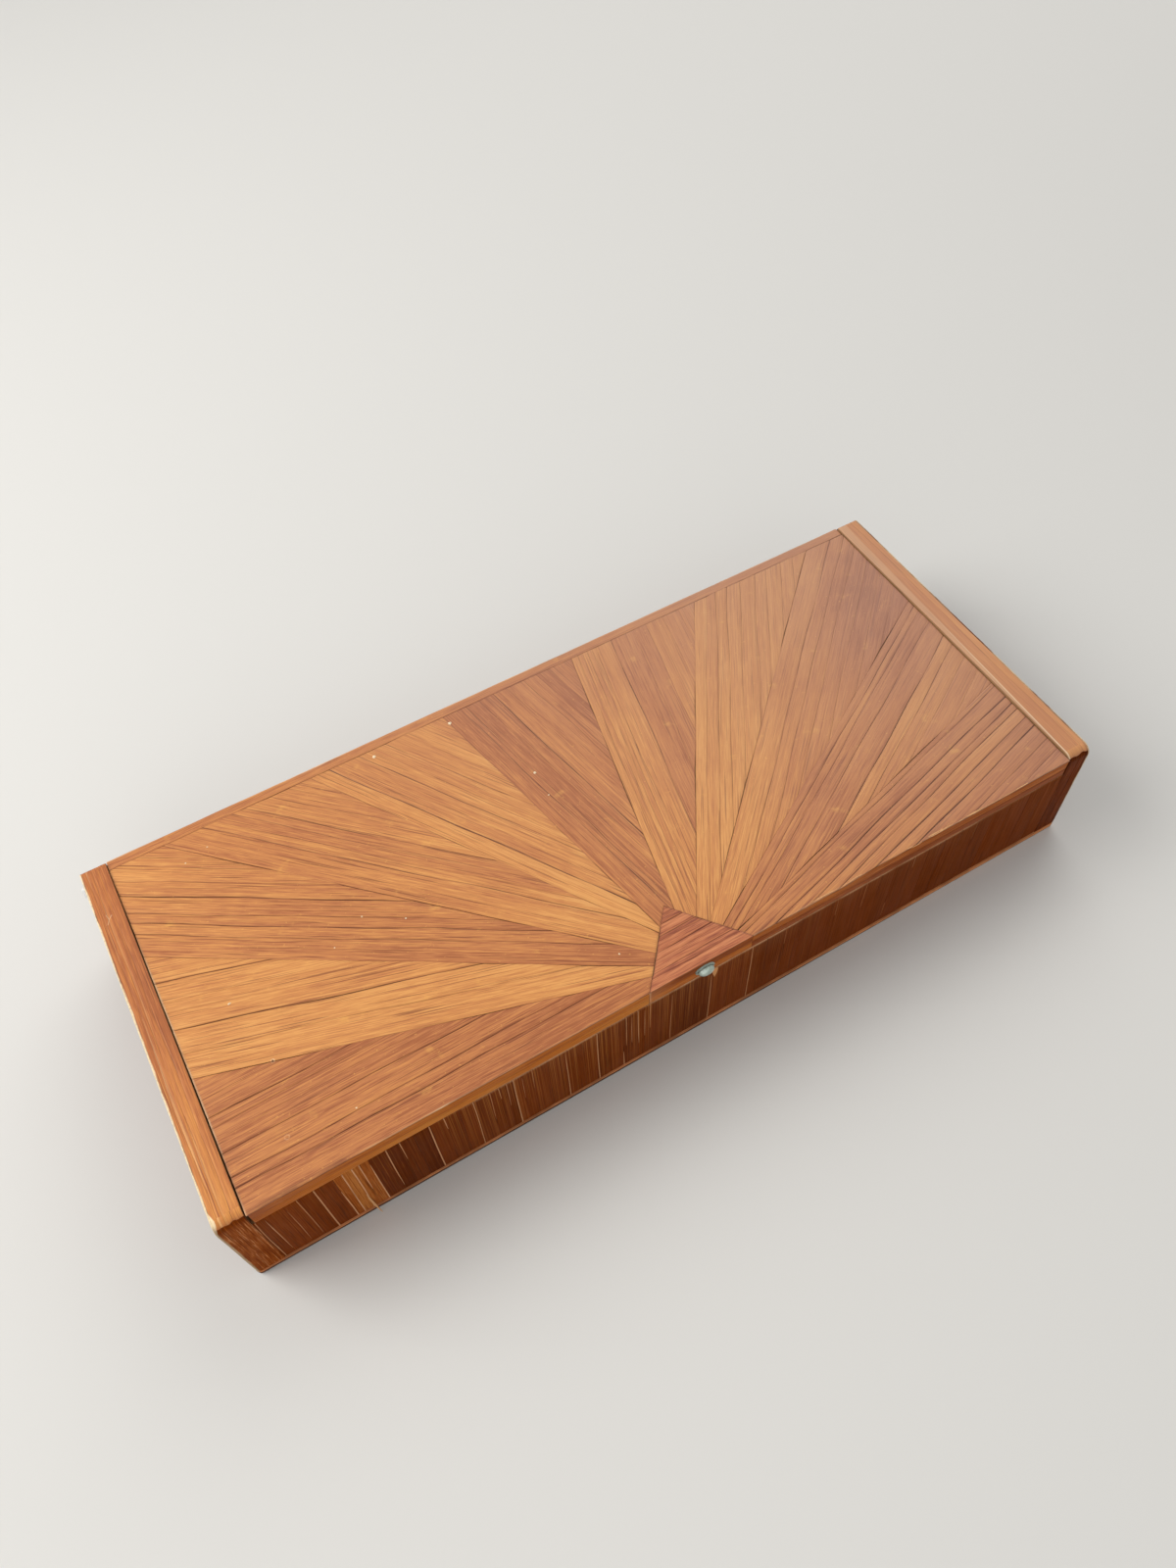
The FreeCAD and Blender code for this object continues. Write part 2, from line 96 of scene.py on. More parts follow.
# Each ray of the sunburst: how its tone drifts outwards, then its straws from the border that they run
# along, each with its width in relation to the others, its tone and how dark the seam after it is
RAYS = (
    (0.0, ((3.6, BROWN, 0.1), (2.1, RUSSET, 0.8), (2.5, BROWN, 0.7), (2.8, TAN, 0.05), (2.5, BROWN, 0.7),
           (3.5, RUSSET, 0.15), (2.5, BROWN, 0.45), (2.2, RUSSET, 0.85), (4.3, BROWN, 0.1),
           (5.3, BROWN, 0))),
    (0.08, ((6.1, 0.2, 0.35), (5.6, 0.18, 1.0), (4.4, 0.2, 0.2), (2.5, 0.26, 0.1), (5.0, 0.18, 0.8),
            (2.6, 0.26, 0.1), (4.7, 0.28, 0))),
    (-0.3, ((5.2, RUSSET, 0.6), (2.8, BROWN, 0.8), (2.5, RUSSET, 0.6), (4.3, BROWN, 1.0), (3.8, TAN, 0.45),
            (3.9, BROWN, 0.6), (2.3, TAN, 0.35), (3.2, BROWN, 0))),
    (0.2, ((6.7, HONEY, 0.75), (2.3, GOLD, 0.3), (2.6, TAN, 0.4), (2.4, TAN, 0.75), (4.6, GOLD, 0.4),
           (3.3, TAN, 0.25), (3.8, TAN, 0))),
    (0.2, ((4.2, GOLD, 1.0), (3.0, TAN, 0.1), (3.4, HONEY, 0.7), (2.9, GOLD, 0.15), (3.3, HONEY, 0.5),
           (4.2, HONEY, 0.2), (4.2, GOLD, 0.1), (4.6, HONEY, 0))),
    (0.0, ((4.7, BROWN, 0.6), (1.6, BROWN, 0.45), (3.5, RUSSET, 0.1), (3.6, BROWN, 0.85), (4.4, TAN, 0.1),
           (4.2, BROWN, 0.35), (3.5, BROWN, 0.1), (3.5, RUSSET, 0.25), (6.5, BROWN, 0))),
    (0.1, ((1.9, GOLD, 0.35), (1.3, HONEY, 0.25), (1.3, GOLD, 0.3), (1.2, HONEY, 0.25), (1.2, GOLD, 0.3),
           (4.6, GOLD, 0.65), (6.2, BROWN, 0.25), (4.0, BROWN, 0.15), (5.0, TAN, 0.2), (4.7, BROWN, 0.1),
           (5.0, TAN, 0))),
    (0.25, ((2.9, GOLD, 0.25), (2.8, HONEY, 0.5), (2.9, GOLD, 0.45), (3.3, HONEY, 0.35), (4.1, GOLD, 0.3),
            (3.0, HONEY, 0.3), (4.0, GOLD, 0.25), (3.5, HONEY, 0.2), (3.7, GOLD, 0))),
    (0.42, ((5.5, GOLD, 0.5), (3.3, GOLD, 0.4), (3.5, HONEY, 0.3), (4.2, TAN, 0.3), (4.0, TAN, 0.25),
            (4.2, BROWN, 0.2), (4.5, BROWN, 0))),
    (0.0, ((1.9, BROWN, 0.6), (1.7, TAN, 0.45), (3.5, BROWN, 0.6), (5.2, BROWN, 0.85), (2.9, HONEY, 0.5),
           (4.2, TAN, 0.25), (4.3, BROWN, 0.3), (4.3, BROWN, 0))),
    (0.1, ((1.2, TAN, 0.6), (3.5, BROWN, 0.95), (2.4, BROWN, 0.85), (1.9, TAN, 0.7), (2.9, HONEY, 0.95),
           (2.9, TAN, 1.0), (4.2, BROWN, 0.7), (3.7, BROWN, 0.6), (3.9, BROWN, 0))),
)
ROOT_STRAWS = ((2.2, TAN, 0.3), (1.2, BROWN, 0.55), (2.2, TAN, 0.2), (1.5, BROWN, 0.75), (1.9, TAN, 0.3),
               (1.1, BROWN, 0.6), (2.0, TAN, 0.8), (1.3, BROWN, 0.35), (2.2, TAN, 0))

# Straws along the top of each cheek, from left to right: width in relation to the others, tone, how dark
# the seam after it is, and how pale the straw is rubbed
CAP_ROWS = {
    "left": ((1.2, TAN, 0.05), (0.22, GOLD, 0, 0.12), (0.9, BROWN, 0.1), (0.2, GOLD, 0, 0.06),
             (1.4, TAN, 0.15), (1.9, BROWN, 0)),
    "right": ((2.1, TAN, 0.05), (2.0, TAN, 0.15), (1.7, HONEY, 0)),
}
# How much darker that straw is at its front and at its back, and where it bends down at its ends
CAP_FADE = {"left": (-0.12, 0.26), "right": (0.0, 0.0)}
BEND_FADE = -0.15

# Straws on the lid's front edge, in three lengths: tone below, tone above, how much darker they start
EDGE_TONES = {"left": (0.22, 0.4, 0.45), "centre": (TAN, BROWN, 0.0), "right": (0.86, 0.64, 0.0)}

# Pale splits in the front wall's straw: place as a share of half the wall's length, where the split
# starts and stops as shares of the wall's height from its top, and how pale it is
FRONT_SPLITS = (
    (-0.996, 0.0, 1.0, 0.5), (-0.977, 0.05, 0.9, 0.6), (-0.937, 0.1, 0.95, 0.45), (-0.911, 0.0, 0.95, 0.45),
    (-0.877, 0.0, 1.0, 0.75), (-0.835, 0.3, 1.0, 0.9), (-0.818, 0.0, 1.0, 0.85), (-0.797, 0.0, 1.0, 1.0),
    (-0.782, 0.0, 0.6, 0.85), (-0.763, 0.1, 1.0, 0.9), (-0.725, 0.0, 0.9, 0.7), (-0.695, 0.0, 0.4, 0.6),
    (-0.632, 0.0, 1.0, 0.75), (-0.598, 0.0, 0.25, 0.6), (-0.535, 0.0, 1.0, 0.65), (-0.498, 0.0, 0.6, 0.4),
    (-0.477, 0.0, 0.25, 0.5), (-0.460, 0.0, 0.5, 0.4), (-0.444, 0.0, 1.0, 0.75), (-0.425, 0.05, 0.5, 0.4),
    (-0.402, 0.0, 0.4, 0.4), (-0.324, 0.05, 1.0, 0.6), (-0.250, 0.0, 1.0, 0.6), (-0.188, 0.7, 1.0, 0.65),
    (-0.180, 0.0, 0.6, 0.5), (-0.166, 0.05, 0.6, 0.45), (-0.150, 0.0, 0.7, 0.5), (-0.135, 0.05, 0.6, 0.45),
    (-0.121, 0.0, 0.5, 0.45), (-0.068, 0.05, 1.0, 0.45), (0.032, 0.1, 1.0, 0.6), (0.136, 0.0, 1.0, 0.55),
    (0.223, 0.0, 0.3, 0.25), (0.360, 0.0, 0.3, 0.25), (0.438, 0.0, 0.45, 0.25), (0.517, 0.65, 0.9, 0.25),
    (0.570, 0.0, 0.2, 0.3), (0.748, 0.0, 0.3, 0.25),
)
# Stretches of the front wall's straw that share a tone, each up to a share of half the wall's length
FRONT_TONES = ((-0.835, 0.55), (-0.763, 0.22), (-0.632, 0.86), (-0.444, 0.7), (-0.26, 0.58),
               (-0.1, 0.7), (0.032, 0.82), (0.136, 0.68), (1.0, 0.66))
# How pale the front wall's top edge is rubbed, at shares of half the wall's length
TOP_RUB = ((-1.0, 0.0), (-0.62, 0.05), (-0.4, 0.9), (0.55, 1.0), (0.8, 0.45), (1.0, 0.3))
WIDEST_STRAW = 6 * MM
CHIP_WIDTH, CHIP_HEIGHT = 1.5 * MM, 4.2 * MM

# Specks dried on the lid: places as shares of the lid's length and depth, and breadth in millimetres
SPECKS = (
    (0.103, 0.936, 0.45), (0.075, 0.918, 0.4), (0.059, 0.487, 0.7), (0.218, 0.540, 0.4),
    (0.258, 0.479, 0.4), (0.433, 0.124, 0.45), (0.178, 0.495, 0.35), (0.129, 0.098, 0.4),
    (0.316, 0.975, 0.9), (0.414, 0.971, 0.9), (0.467, 0.701, 0.7), (0.466, 0.619, 0.5),
)
# Marks on the lid and on the left cheek, seen from above
PINHOLE = (-87.6 * MM, -19.1 * MM)
RING_MARK = (-90.9 * MM, -35.6 * MM)
SCRATCH_FORK = (-107.3 * MM, 30.6 * MM)
SCRATCH_ENDS = ((-107.9 * MM, 29.4 * MM), (-107.6 * MM, 32.0 * MM), (-106.5 * MM, 31.4 * MM))
# Where the pale lines along the lid's left side and its front come in and fade, and where its grime ends;
# both lines are raw straw, the left one in part also a painted highlight
SIDE_LINE_IN, SIDE_LINE_OUT = (-42 * MM, -28 * MM), (8 * MM, 26 * MM)
FRONT_LINE_IN, FRONT_LINE_OUT = (-82 * MM, -76 * MM), (-58 * MM, -46 * MM)
GRIME_OUT = (-84 * MM, -77 * MM)
# Where the front wall's fine streaks come in and fade, and where the lid's front edge begins to be rubbed
STREAKS_IN, STREAKS_OUT = (-68 * MM, -56 * MM), (-5 * MM, 25 * MM)
EDGE_RUB_IN = (-55 * MM, -20 * MM)
# From where to where, towards the back right, straw loses its crispness and takes a painted sheen, a greyish
# painted reflection of the light
BACK_SHARE = 0.8
CRISP_REACH, PAINTED_SHEEN_REACH = (-70 * MM, 100 * MM), (-60 * MM, 130 * MM)
# Heights between which the base board's rim turns pale, as raw wood and in part as a painted highlight on
# its upper edge, and how much lower that is to the right
RIM_HEIGHTS = (1.25 * MM, 1.4 * MM)
RIM_LOWER, RIM_LOWER_AT = 1.0 * MM, 80 * MM
# Frays on the lid's front edge: first, last and likeliest place
FRAY_PLACES = (20 * MM, 98 * MM, 70 * MM)
# The sliver that hangs on the front: where it starts, how far it strays, stands off and hangs, its width
SLIVER_X, SLIVER_Z = -82.9 * MM, 11.0 * MM
SLIVER_STRAY, SLIVER_STAND, SLIVER_DROP, SLIVER_WIDTH = 1.0 * MM, 1.5 * MM, 10.7 * MM, 0.45 * MM
BACK_STRAW_WIDTH, END_STRAW_WIDTH = 4.8 * MM, 3.2 * MM
PAPER_STEP, PAPER_RAGGED = 5 * MM, 0.15 * MM
PIN_POINT = 2 * MM


def srgb(red, green, blue):
    """Colour from the 0 to 255 scale of a screen, as the linear values that shaders use."""
    def linear(value):
        share = value / 255
        return share / 12.92 if share <= 0.04045 else ((share + 0.055) / 1.055) ** 2.4
    return linear(red), linear(green), linear(blue), 1.0


# Materials


def step(operation):
    """Method of a value that makes a maths node from it."""
    def make(self, other=0.0):
        return self.graph.maths(operation, self, other)
    return make


class Value:
    """Output of a node, and the steps that make further nodes from it."""

    def __init__(self, graph, socket):
        self.graph = graph
        self.socket = socket

    __add__ = step("ADD")
    __sub__ = step("SUBTRACT")
    __mul__ = step("MULTIPLY")
    __abs__ = step("ABSOLUTE")
    root = step("SQRT")
    at_least = step("MAXIMUM")
    at_most = step("MINIMUM")

    def __rsub__(self, other):
        return self.graph.maths("SUBTRACT", other, self)

    def between(self, low, high, to_low=0.0, to_high=1.0):
        """Passes smoothly from one number to another as this value passes from low to high."""
        feeds = {"Value": self, "From Min": low, "From Max": high, "To Min": to_low, "To Max": to_high}
        return self.graph.node("MapRange", feeds, interpolation_type="SMOOTHSTEP")

    def near(self, place, reach):
        """One at a place, and nothing beyond a reach from it."""
        return abs(self - place).between(0.0, reach, 1.0, 0.0)

    def swing(self, reach):
        """A noise from 0 to 1 as a swing of that reach to either side of zero."""
        return (self - 0.5) * (2 * reach)


class Graph:
    """Node tree of a material or of the world, built from small steps that each give back a value."""

    def __init__(self, owner):
        owner.use_nodes = True
        self.owner = owner
        self.tree = owner.node_tree

    def feed(self, socket, value):
        if isinstance(value, Value):
            self.tree.links.new(value.socket, socket)
        else:
            socket.default_value = value

    def node(self, kind, feeds, output=0, **settings):
        made = self.tree.nodes.new("ShaderNode" + kind)
        for key, value in settings.items():
            setattr(made, key, value)
        for key, value in feeds.items():
            self.feed(made.inputs[key], value)
        return Value(self, made.outputs[output])

    def attribute(self, name, output="Fac"):
        return self.node("Attribute", {}, output, attribute_name=name)

    def place(self):
        return self.node("TexCoord", {}, "Object")

    def axes(self):
        return [self.node("SeparateXYZ", {0: self.place()}, axis) for axis in range(3)]

    def maths(self, operation, first, second):
        return self.node("Math", {0: first, 1: second}, operation=operation)

    def noise(self, vector, scale, detail=2.0, roughness=0.5, distortion=0.0):
        stretched = self.node("VectorMath", {0: vector, 1: scale}, operation="MULTIPLY")
        return self.node("TexNoise", {"Vector": stretched, "Scale": 1.0, "Detail": detail,
                                      "Roughness": roughness, "Distortion": distortion})

    def grain(self, scale, **looks):
        """Noise over the object's own place, of one scale or of one for each axis."""
        return self.noise(self.place(), [float(s) for s in np.broadcast_to(scale, 3)], **looks)

    def ramp(self, value, *stops):
        made = self.tree.nodes.new("ShaderNodeValToRGB")
        elements = made.color_ramp.elements
        while len(elements) < len(stops):
            elements.new(1.0)
        for element, (place, colour) in zip(elements, stops):
            element.position = place
            element.color = colour
        self.feed(made.inputs[0], value)
        return Value(self, made.outputs[0])

    def mix(self, share, first, second):
        return self.node("Mix", {0: share, 6: first, 7: second}, 2, data_type="RGBA")

    def bump(self, height, strength, distance):
        return self.node("Bump", {"Strength": strength, "Distance": distance, "Height": height})

    def finish(self, **feeds):
        """Feeds the surface's shader; a name has _ where the shader's input has a space."""
        inputs = self.tree.nodes["Principled BSDF"].inputs
        for name, value in feeds.items():
            self.feed(inputs[name.replace("_", " ")], value)
        return self.owner


def new_graph(name):
    return Graph(bpy.data.materials.new(name))


# Colour of dark seams and grime, also used for the painted shade in the pinhole
STAIN_AND_SHADE = srgb(90, 47, 33)
LID_HAIR = srgb(122, 66, 42)
DARK_HAIR = srgb(62, 26, 8)
HAIR_SHARE = 0.5
# Painted sheen: a greyish painted reflection laid over the straw towards the back right
PAINTED_SHEEN = srgb(164, 149, 141)
RAW_STRAW = srgb(255, 230, 186)
RAW_LID = srgb(246, 206, 158)
RAW_SPLIT = srgb(255, 203, 154)
# Pale of the base board's rim: raw wood, and in part a painted highlight
RIM_RAW_AND_LIT = srgb(214, 140, 88)
BLOOM = srgb(238, 176, 92)


def length_of(off_x, off_y):
    return (off_x * off_x + off_y * off_y).root()


def away_from(graph, mark):
    """Distance from a mark, seen from above."""
    x, y, _ = graph.axes()
    return length_of(x - mark[0], y - mark[1])


def stroke(graph, start, end, reach):
    """One on a scratch from start to end, seen from above, and nothing beyond a reach from it."""
    x, y, _ = graph.axes()
    way_x, way_y = end[0] - start[0], end[1] - start[1]
    off_x, off_y = x - start[0], y - start[1]
    share = (off_x * way_x + off_y * way_y) * (1 / (way_x ** 2 + way_y ** 2))
    share = share.at_least(0.0).at_most(1.0)
    return length_of(off_x - share * way_x, off_y - share * way_y).between(0.0, reach, 1.0, 0.0)


def lid_edges(graph):
    """Raw pale lines along the lid's left side and its front, a pinhole's pale rim and a ring mark; the left
    side's line is also in part a painted highlight on the edge that faces the light.
    """
    x, y, _ = graph.axes()
    rub = graph.grain(70, detail=3.0)
    slope = (OVERHANG_FRONT - OVERHANG_BACK) / (LID_HIGH.y - LID_FRONT)
    # Left line: raw straw, and in part a painted highlight on the lid's edge that faces the light
    left = (x - y * slope).near(LID_LOW.x - (OVERHANG_FRONT + OVERHANG_BACK) / 2, 0.5 * MM)
    left *= rub.between(0.36, 0.56, 0.35, 1.0)
    left *= y.between(*SIDE_LINE_IN, 0.4, 1.0) * y.between(*SIDE_LINE_OUT, 1.0, 0.15)
    front = y.near(LID_FRONT, 0.4 * MM) * rub.between(0.36, 0.56, 0.2, 0.8)
    front *= x.between(*FRONT_LINE_IN) * x.between(*FRONT_LINE_OUT, 1.0, 0.2)
    pale = left.at_least(front)
    flecks = graph.grain(900).between(0.4, 0.6, 0.2, 1.0)
    for mark, radius, line, strength in ((PINHOLE, 0.36, 0.26, 0.75), (RING_MARK, 0.5, 0.24, 0.5)):
        ring = away_from(graph, mark).near(radius * MM, line * MM)
        pale = pale.at_least(ring * strength * flecks)
    return pale


def lid_grime_and_hole_shade(graph):
    """Pinhole painted dark as the shade inside it, and a grimy band along the lid's front edge at its left
    end.
    """
    x, y, _ = graph.axes()
    # Painted shade: the pinhole's dark centre
    hole = away_from(graph, PINHOLE).between(0.12 * MM, 0.3 * MM, 0.9, 0.0)
    band = y.between(LID_FRONT + 0.5 * MM, LID_FRONT + 1.3 * MM, 1.0, 0.0)
    grime = graph.grain(260, detail=3.0).between(0.3, 0.6, 0.15, 0.45)
    return hole.at_least(band * x.between(*GRIME_OUT, 1.0, 0.0) * grime)


def skin_depth(graph, facing, way):
    """Depth under a cheek's top and its front or back edge, round the corner between them."""
    _, y, z = graph.axes()
    radius = CHEEK_RADII[facing]
    over = ((y - CHEEK_ARCS[facing]) * way).at_least(0.0)
    above = (z - (END_HIGH.z - radius)).at_least(0.0)
    return radius - length_of(over, above)


def cheek_arris(graph):
    """Raw chipped outer corner of a cheek: bright and unbroken on the left, where it is also in part a
    painted highlight on the corner that faces the light, and here and there on the right.
    """
    x, y, _ = graph.axes()
    depth = skin_depth(graph, "front", -1.0).at_most(skin_depth(graph, "back", 1.0))
    rub = graph.grain(170, detail=4.0, roughness=0.6)
    broken = graph.grain(60, detail=3.0).between(0.42, 0.58, 0.05, 0.7)
    left = x.between(0.0, TOUCH, 1.0, 0.0)
    out = abs(x) + rub.swing(0.3 * MM)
    out += y.near(END_LOW.y + 1.8 * MM, 2.4 * MM) * left * (0.6 * MM)
    line = out.between(END_HIGH.x - 0.5 * MM, END_HIGH.x - 0.28 * MM)
    rim = depth.between(0.25 * MM, 0.6 * MM, 1.0, 0.0)
    upper = y.between(END_LOW.y + 0.4 * MM, END_LOW.y + 1.4 * MM, 0.6, 1.0)
    # The left cheek's line stays whole: raw straw, and in part a painted highlight where the corner faces
    # the light
    pale = line * rim * (left * upper).at_least(broken)
    for end in SCRATCH_ENDS:
        pale = pale.at_least(stroke(graph, SCRATCH_FORK, end, 0.17 * MM) * rim * 0.45)
    return pale


def cap_rubs_and_highlights(graph):
    """A cheek's raw corner, and on the right a painted highlight: a pale band beside the lid that widens to
    the back, in place of the cheek's lit inner edge standing above the lid.
    """
    x, y, _ = graph.axes()
    back = (y - CAP_LOW.y) * (1 / (CAP_HIGH.y - CAP_LOW.y))
    # Painted highlight: pale band and bright line beside the lid on the right cap, for the lit inner edge of
    # the cheek
    inside = back * (2.2 * MM) + (CAP_LOW.x + 0.3 * MM) - x
    line = inside.near(0.1 * MM, 0.28 * MM) * back.between(0.15, 0.8, 0.85, 0.0)
    band = inside.between(-0.05 * MM, 0.1 * MM, 0.0, 0.2).at_least(line)
    return cheek_arris(graph).at_least(band * x.between(0.0, TOUCH))


def wall_streaks(graph, along):
    """Fine rubbed lines along the front wall's straws, most of them high up and left of the middle."""
    x, _, z = graph.axes()
    fine = graph.noise(along, (0.012, 5.2, 9.7), detail=0.0).between(0.5, 0.7)
    fine *= z.between(FRONT_LOW.z, FRONT_HIGH.z, 0.45, 1.0)
    return fine * x.between(*STREAKS_IN, 0.1, 0.36) * x.between(*STREAKS_OUT, 1.0, 0.25)


def straw_material(name, stops, worn=None, stains_and_shade=None, streaks=None, swing=1.0, hair_tint=LID_HAIR,
                   glint=0.35, gloss=0.25, raw=RAW_STRAW, painted_sheen=0.0, bloom=0.0, fineness=1.0):
    """Satin straw: fibres along each straw, patchy tone, seams dark with stain and raw pale worn edges; some
    pale edges are also painted highlights, a pinhole gets painted shade, and a painted sheen greys the straw
    towards the back right.
    """
    graph = new_graph(name)
    x, y, _ = graph.axes()
    along = graph.attribute("straw", "Vector")
    hairs = graph.noise(along, (0.03, 2.4 * fineness, 3.7), detail=3.0, roughness=0.6)
    nap = graph.noise(along, (0.22, 4.4, 6.1), roughness=0.6)
    fibres = graph.noise(along, (0.012, 0.8 * fineness, 5.3))
    patches = graph.noise(along, (0.04, 0.12, 1.9), detail=3.0, roughness=0.55)
    blotches = graph.grain(38, detail=3.0)
    far = x + y * BACK_SHARE
    crisp = far.between(*CRISP_REACH, 1.3, 0.65) if painted_sheen else 1.0
    tone = graph.attribute("tone")
    for part, reach in ((hairs, 0.5), (nap, 0.58)):
        tone += part.swing(reach * swing) * crisp
    for part, reach in ((fibres, 0.15), (patches, 0.26), (blotches, 0.3)):
        tone += part.swing(reach * swing)
    colour = graph.ramp(tone, *stops)
    lines = graph.noise(along, (0.05, 3.2, 8.1), detail=1.0).between(0.62, 0.69)
    colour = graph.mix(lines * HAIR_SHARE * crisp, colour, hair_tint)
    glints = graph.noise(along, (0.05, 2.6, 2.3)).between(0.64, 0.78)
    colour = graph.mix(glints * glint * crisp, colour, stops[0][1])
    if streaks:
        colour = graph.mix(streaks(graph, along), colour, stops[0][1])
    if bloom:
        spots = graph.grain((150, 190, 150), detail=4.0, roughness=0.6).between(0.62, 0.76)
        flecks = graph.grain((1300, 1700, 1300), detail=1.0).between(0.7, 0.82)
        colour = graph.mix(spots.at_least(flecks) * bloom, colour, BLOOM)
    dark = graph.attribute("seam") * 0.9
    # Grime, and painted shade in the pinhole
    if stains_and_shade:
        dark = dark.at_least(stains_and_shade(graph))
    colour = graph.mix(dark, colour, STAIN_AND_SHADE)
    wear = graph.attribute("wear")
    if worn:
        wear = wear.at_least(worn(graph))
    colour = graph.mix(wear * hairs.between(0.2, 0.6, 0.6, 1.0), colour, raw)
    # Painted sheen: greyish painted reflection, strongest towards the back right
    if painted_sheen:
        colour = graph.mix(far.between(*PAINTED_SHEEN_REACH, 0.0, painted_sheen), colour, PAINTED_SHEEN)
    roughness = (hairs + patches.swing(0.5)).between(0.2, 0.9, 0.42, 0.66)
    normal = graph.bump(hairs * 0.5 + fibres * 0.5, 0.3, 0.12 * MM)
    return graph.finish(Base_Color=colour, Roughness=roughness, Normal=normal, Specular_IOR_Level=gloss)


def wood_material(name, pale, deep, dirt, grain_axis, worn_and_lit_rim=False):
    """Plain wood, grain along one axis, darkened by handling; a worn rim is that of the base board, pale as
    raw wood and in part as a painted highlight on its upper edge.
    """
    graph = new_graph(name)
    scale = np.full(3, 420.0)
    scale[grain_axis] = 14.0
    rings = graph.grain(scale, detail=4.0, roughness=0.6, distortion=0.4)
    pores = graph.grain(4 * scale)
    colour = graph.ramp(rings, (0.28, deep), (0.72, pale))
    colour = graph.mix(pores.between(0.62, 0.8, 0.0, 0.45), colour, deep)
    colour = graph.mix(graph.grain(60, detail=4.0).between(0.5, 0.85, 0.0, 0.6), colour, dirt)
    if worn_and_lit_rim:
        x, _, z = graph.axes()
        high = z + x.between(0.0, RIM_LOWER_AT, 0.0, RIM_LOWER)
        rub = graph.grain(160, detail=3.0).between(0.3, 0.6, 0.55, 1.0)
        # Pale rim: raw wood, and in part a painted highlight on the lit upper edge
        colour = graph.mix(high.between(*RIM_HEIGHTS) * rub, colour, RIM_RAW_AND_LIT)
    return graph.finish(Base_Color=colour, Roughness=pores.between(0.2, 0.8, 0.55, 0.8),
                        Normal=graph.bump(rings, 0.3, 0.15 * MM), Specular_IOR_Level=0.3)


def paper_material():
    """Aged paper with fibres, fox marks, damp stains and dusty patches."""
    graph = new_graph("lining_paper")
    patches = graph.grain(22, detail=5.0, roughness=0.6)
    pulp = graph.grain(1400)
    colour = graph.ramp(patches, (0.25, srgb(168, 138, 100)), (0.75, srgb(208, 182, 140)))
    strands = graph.grain((300, 1500, 900), distortion=1.2)
    for marks, low, high, share, tint in (
        (graph.grain(9, detail=3.0), 0.6, 0.64, 0.22, srgb(134, 98, 62)),
        (graph.grain(150, detail=3.0), 0.66, 0.78, 0.55, srgb(132, 92, 56)),
        (strands, 0.62, 0.72, 0.3, srgb(226, 204, 164)),
        (pulp, 0.55, 0.75, 0.3, srgb(120, 95, 66)),
    ):
        colour = graph.mix(marks.between(low, high, 0.0, share), colour, tint)
    return graph.finish(Base_Color=colour, Roughness=pulp.between(0.2, 0.8, 0.8, 0.95),
                        Normal=graph.bump(pulp, 0.25, 0.08 * MM), Specular_IOR_Level=0.2)


def steel_material():
    """Worn bright steel with rust in its low places."""
    graph = new_graph("pin_steel")
    wear = graph.grain(900, detail=4.0)
    rust = graph.grain(500, detail=5.0).between(0.58, 0.74)
    colour = graph.mix(rust * 0.6, srgb(238, 238, 236), srgb(136, 104, 82))
    return graph.finish(Base_Color=colour, Roughness=wear.between(0.2, 0.8, 0.25, 0.5),
                        Normal=graph.bump(wear, 0.2, 0.05 * MM), Metallic=0.7 - rust * 0.5)


def knob_material():
    """Copper alloy gone pale green, still bright where fingers rub it."""
    graph = new_graph("knob_metal")
    y = graph.axes()[1]
    crust = graph.grain(480, detail=3.0, roughness=0.55)
    green = graph.ramp(crust, (0.3, srgb(150, 162, 148)), (0.5, srgb(190, 206, 192)),
                       (0.7, srgb(230, 236, 226)))
    # Painted shade in the groove between the flange's rim and the dome
    groove_shade = y.near(LID_FRONT - 0.26 * (LID_FRONT - KNOB_LOW.y), 0.2 * MM)
    green = graph.mix(groove_shade * 0.8, green, srgb(60, 62, 54))
    bare = crust.between(0.3, 0.42, 1.0, 0.0)
    return graph.finish(Base_Color=green, Roughness=crust.between(0.25, 0.8, 0.2, 0.42),
                        Normal=graph.bump(crust, 0.15, 0.06 * MM), Metallic=bare * 0.25 + 0.05)


def speck_material(name, deep, pale):
    """Dried drips and raw slivers of straw."""
    graph = new_graph(name)
    grain = graph.grain(2500, detail=3.0)
    return graph.finish(Base_Color=graph.ramp(grain, (0.3, deep), (0.7, pale)),
                        Roughness=grain.between(0.2, 0.8, 0.5, 0.8),
                        Normal=graph.bump(grain, 0.3, 0.05 * MM))


LID_STOPS = ((0.0, srgb(228, 161, 92)), (0.25, srgb(216, 146, 82)), (0.5, srgb(203, 132, 76)),
             (0.75, srgb(190, 119, 72)), (1.0, srgb(168, 99, 60)))
CAP_STOPS = ((0.0, srgb(230, 158, 84)), (0.25, srgb(217, 143, 74)), (0.5, srgb(204, 128, 68)),
             (0.75, srgb(191, 115, 63)), (1.0, srgb(168, 96, 54)))
RED_STOPS = ((0.0, srgb(222, 146, 100)), (0.35, srgb(206, 130, 86)), (0.7, srgb(184, 108, 72)),
             (1.0, srgb(146, 80, 58)))
# The lid's front edge straw: written darker and warmer than the lid's top straw, in part as painted shade
EDGE_STOPS = ((0.0, srgb(226, 145, 62)), (0.4, srgb(206, 118, 43)), (0.75, srgb(168, 86, 30)),
              (1.0, srgb(133, 64, 22)))
DARK_STOPS = ((0.0, srgb(214, 140, 70)), (0.25, srgb(168, 88, 32)), (0.5, srgb(132, 60, 14)),
              (0.75, srgb(113, 50, 10)), (1.0, srgb(86, 34, 6)))
CHEEK_STOPS = ((0.0, srgb(228, 160, 104)), *DARK_STOPS[1:])

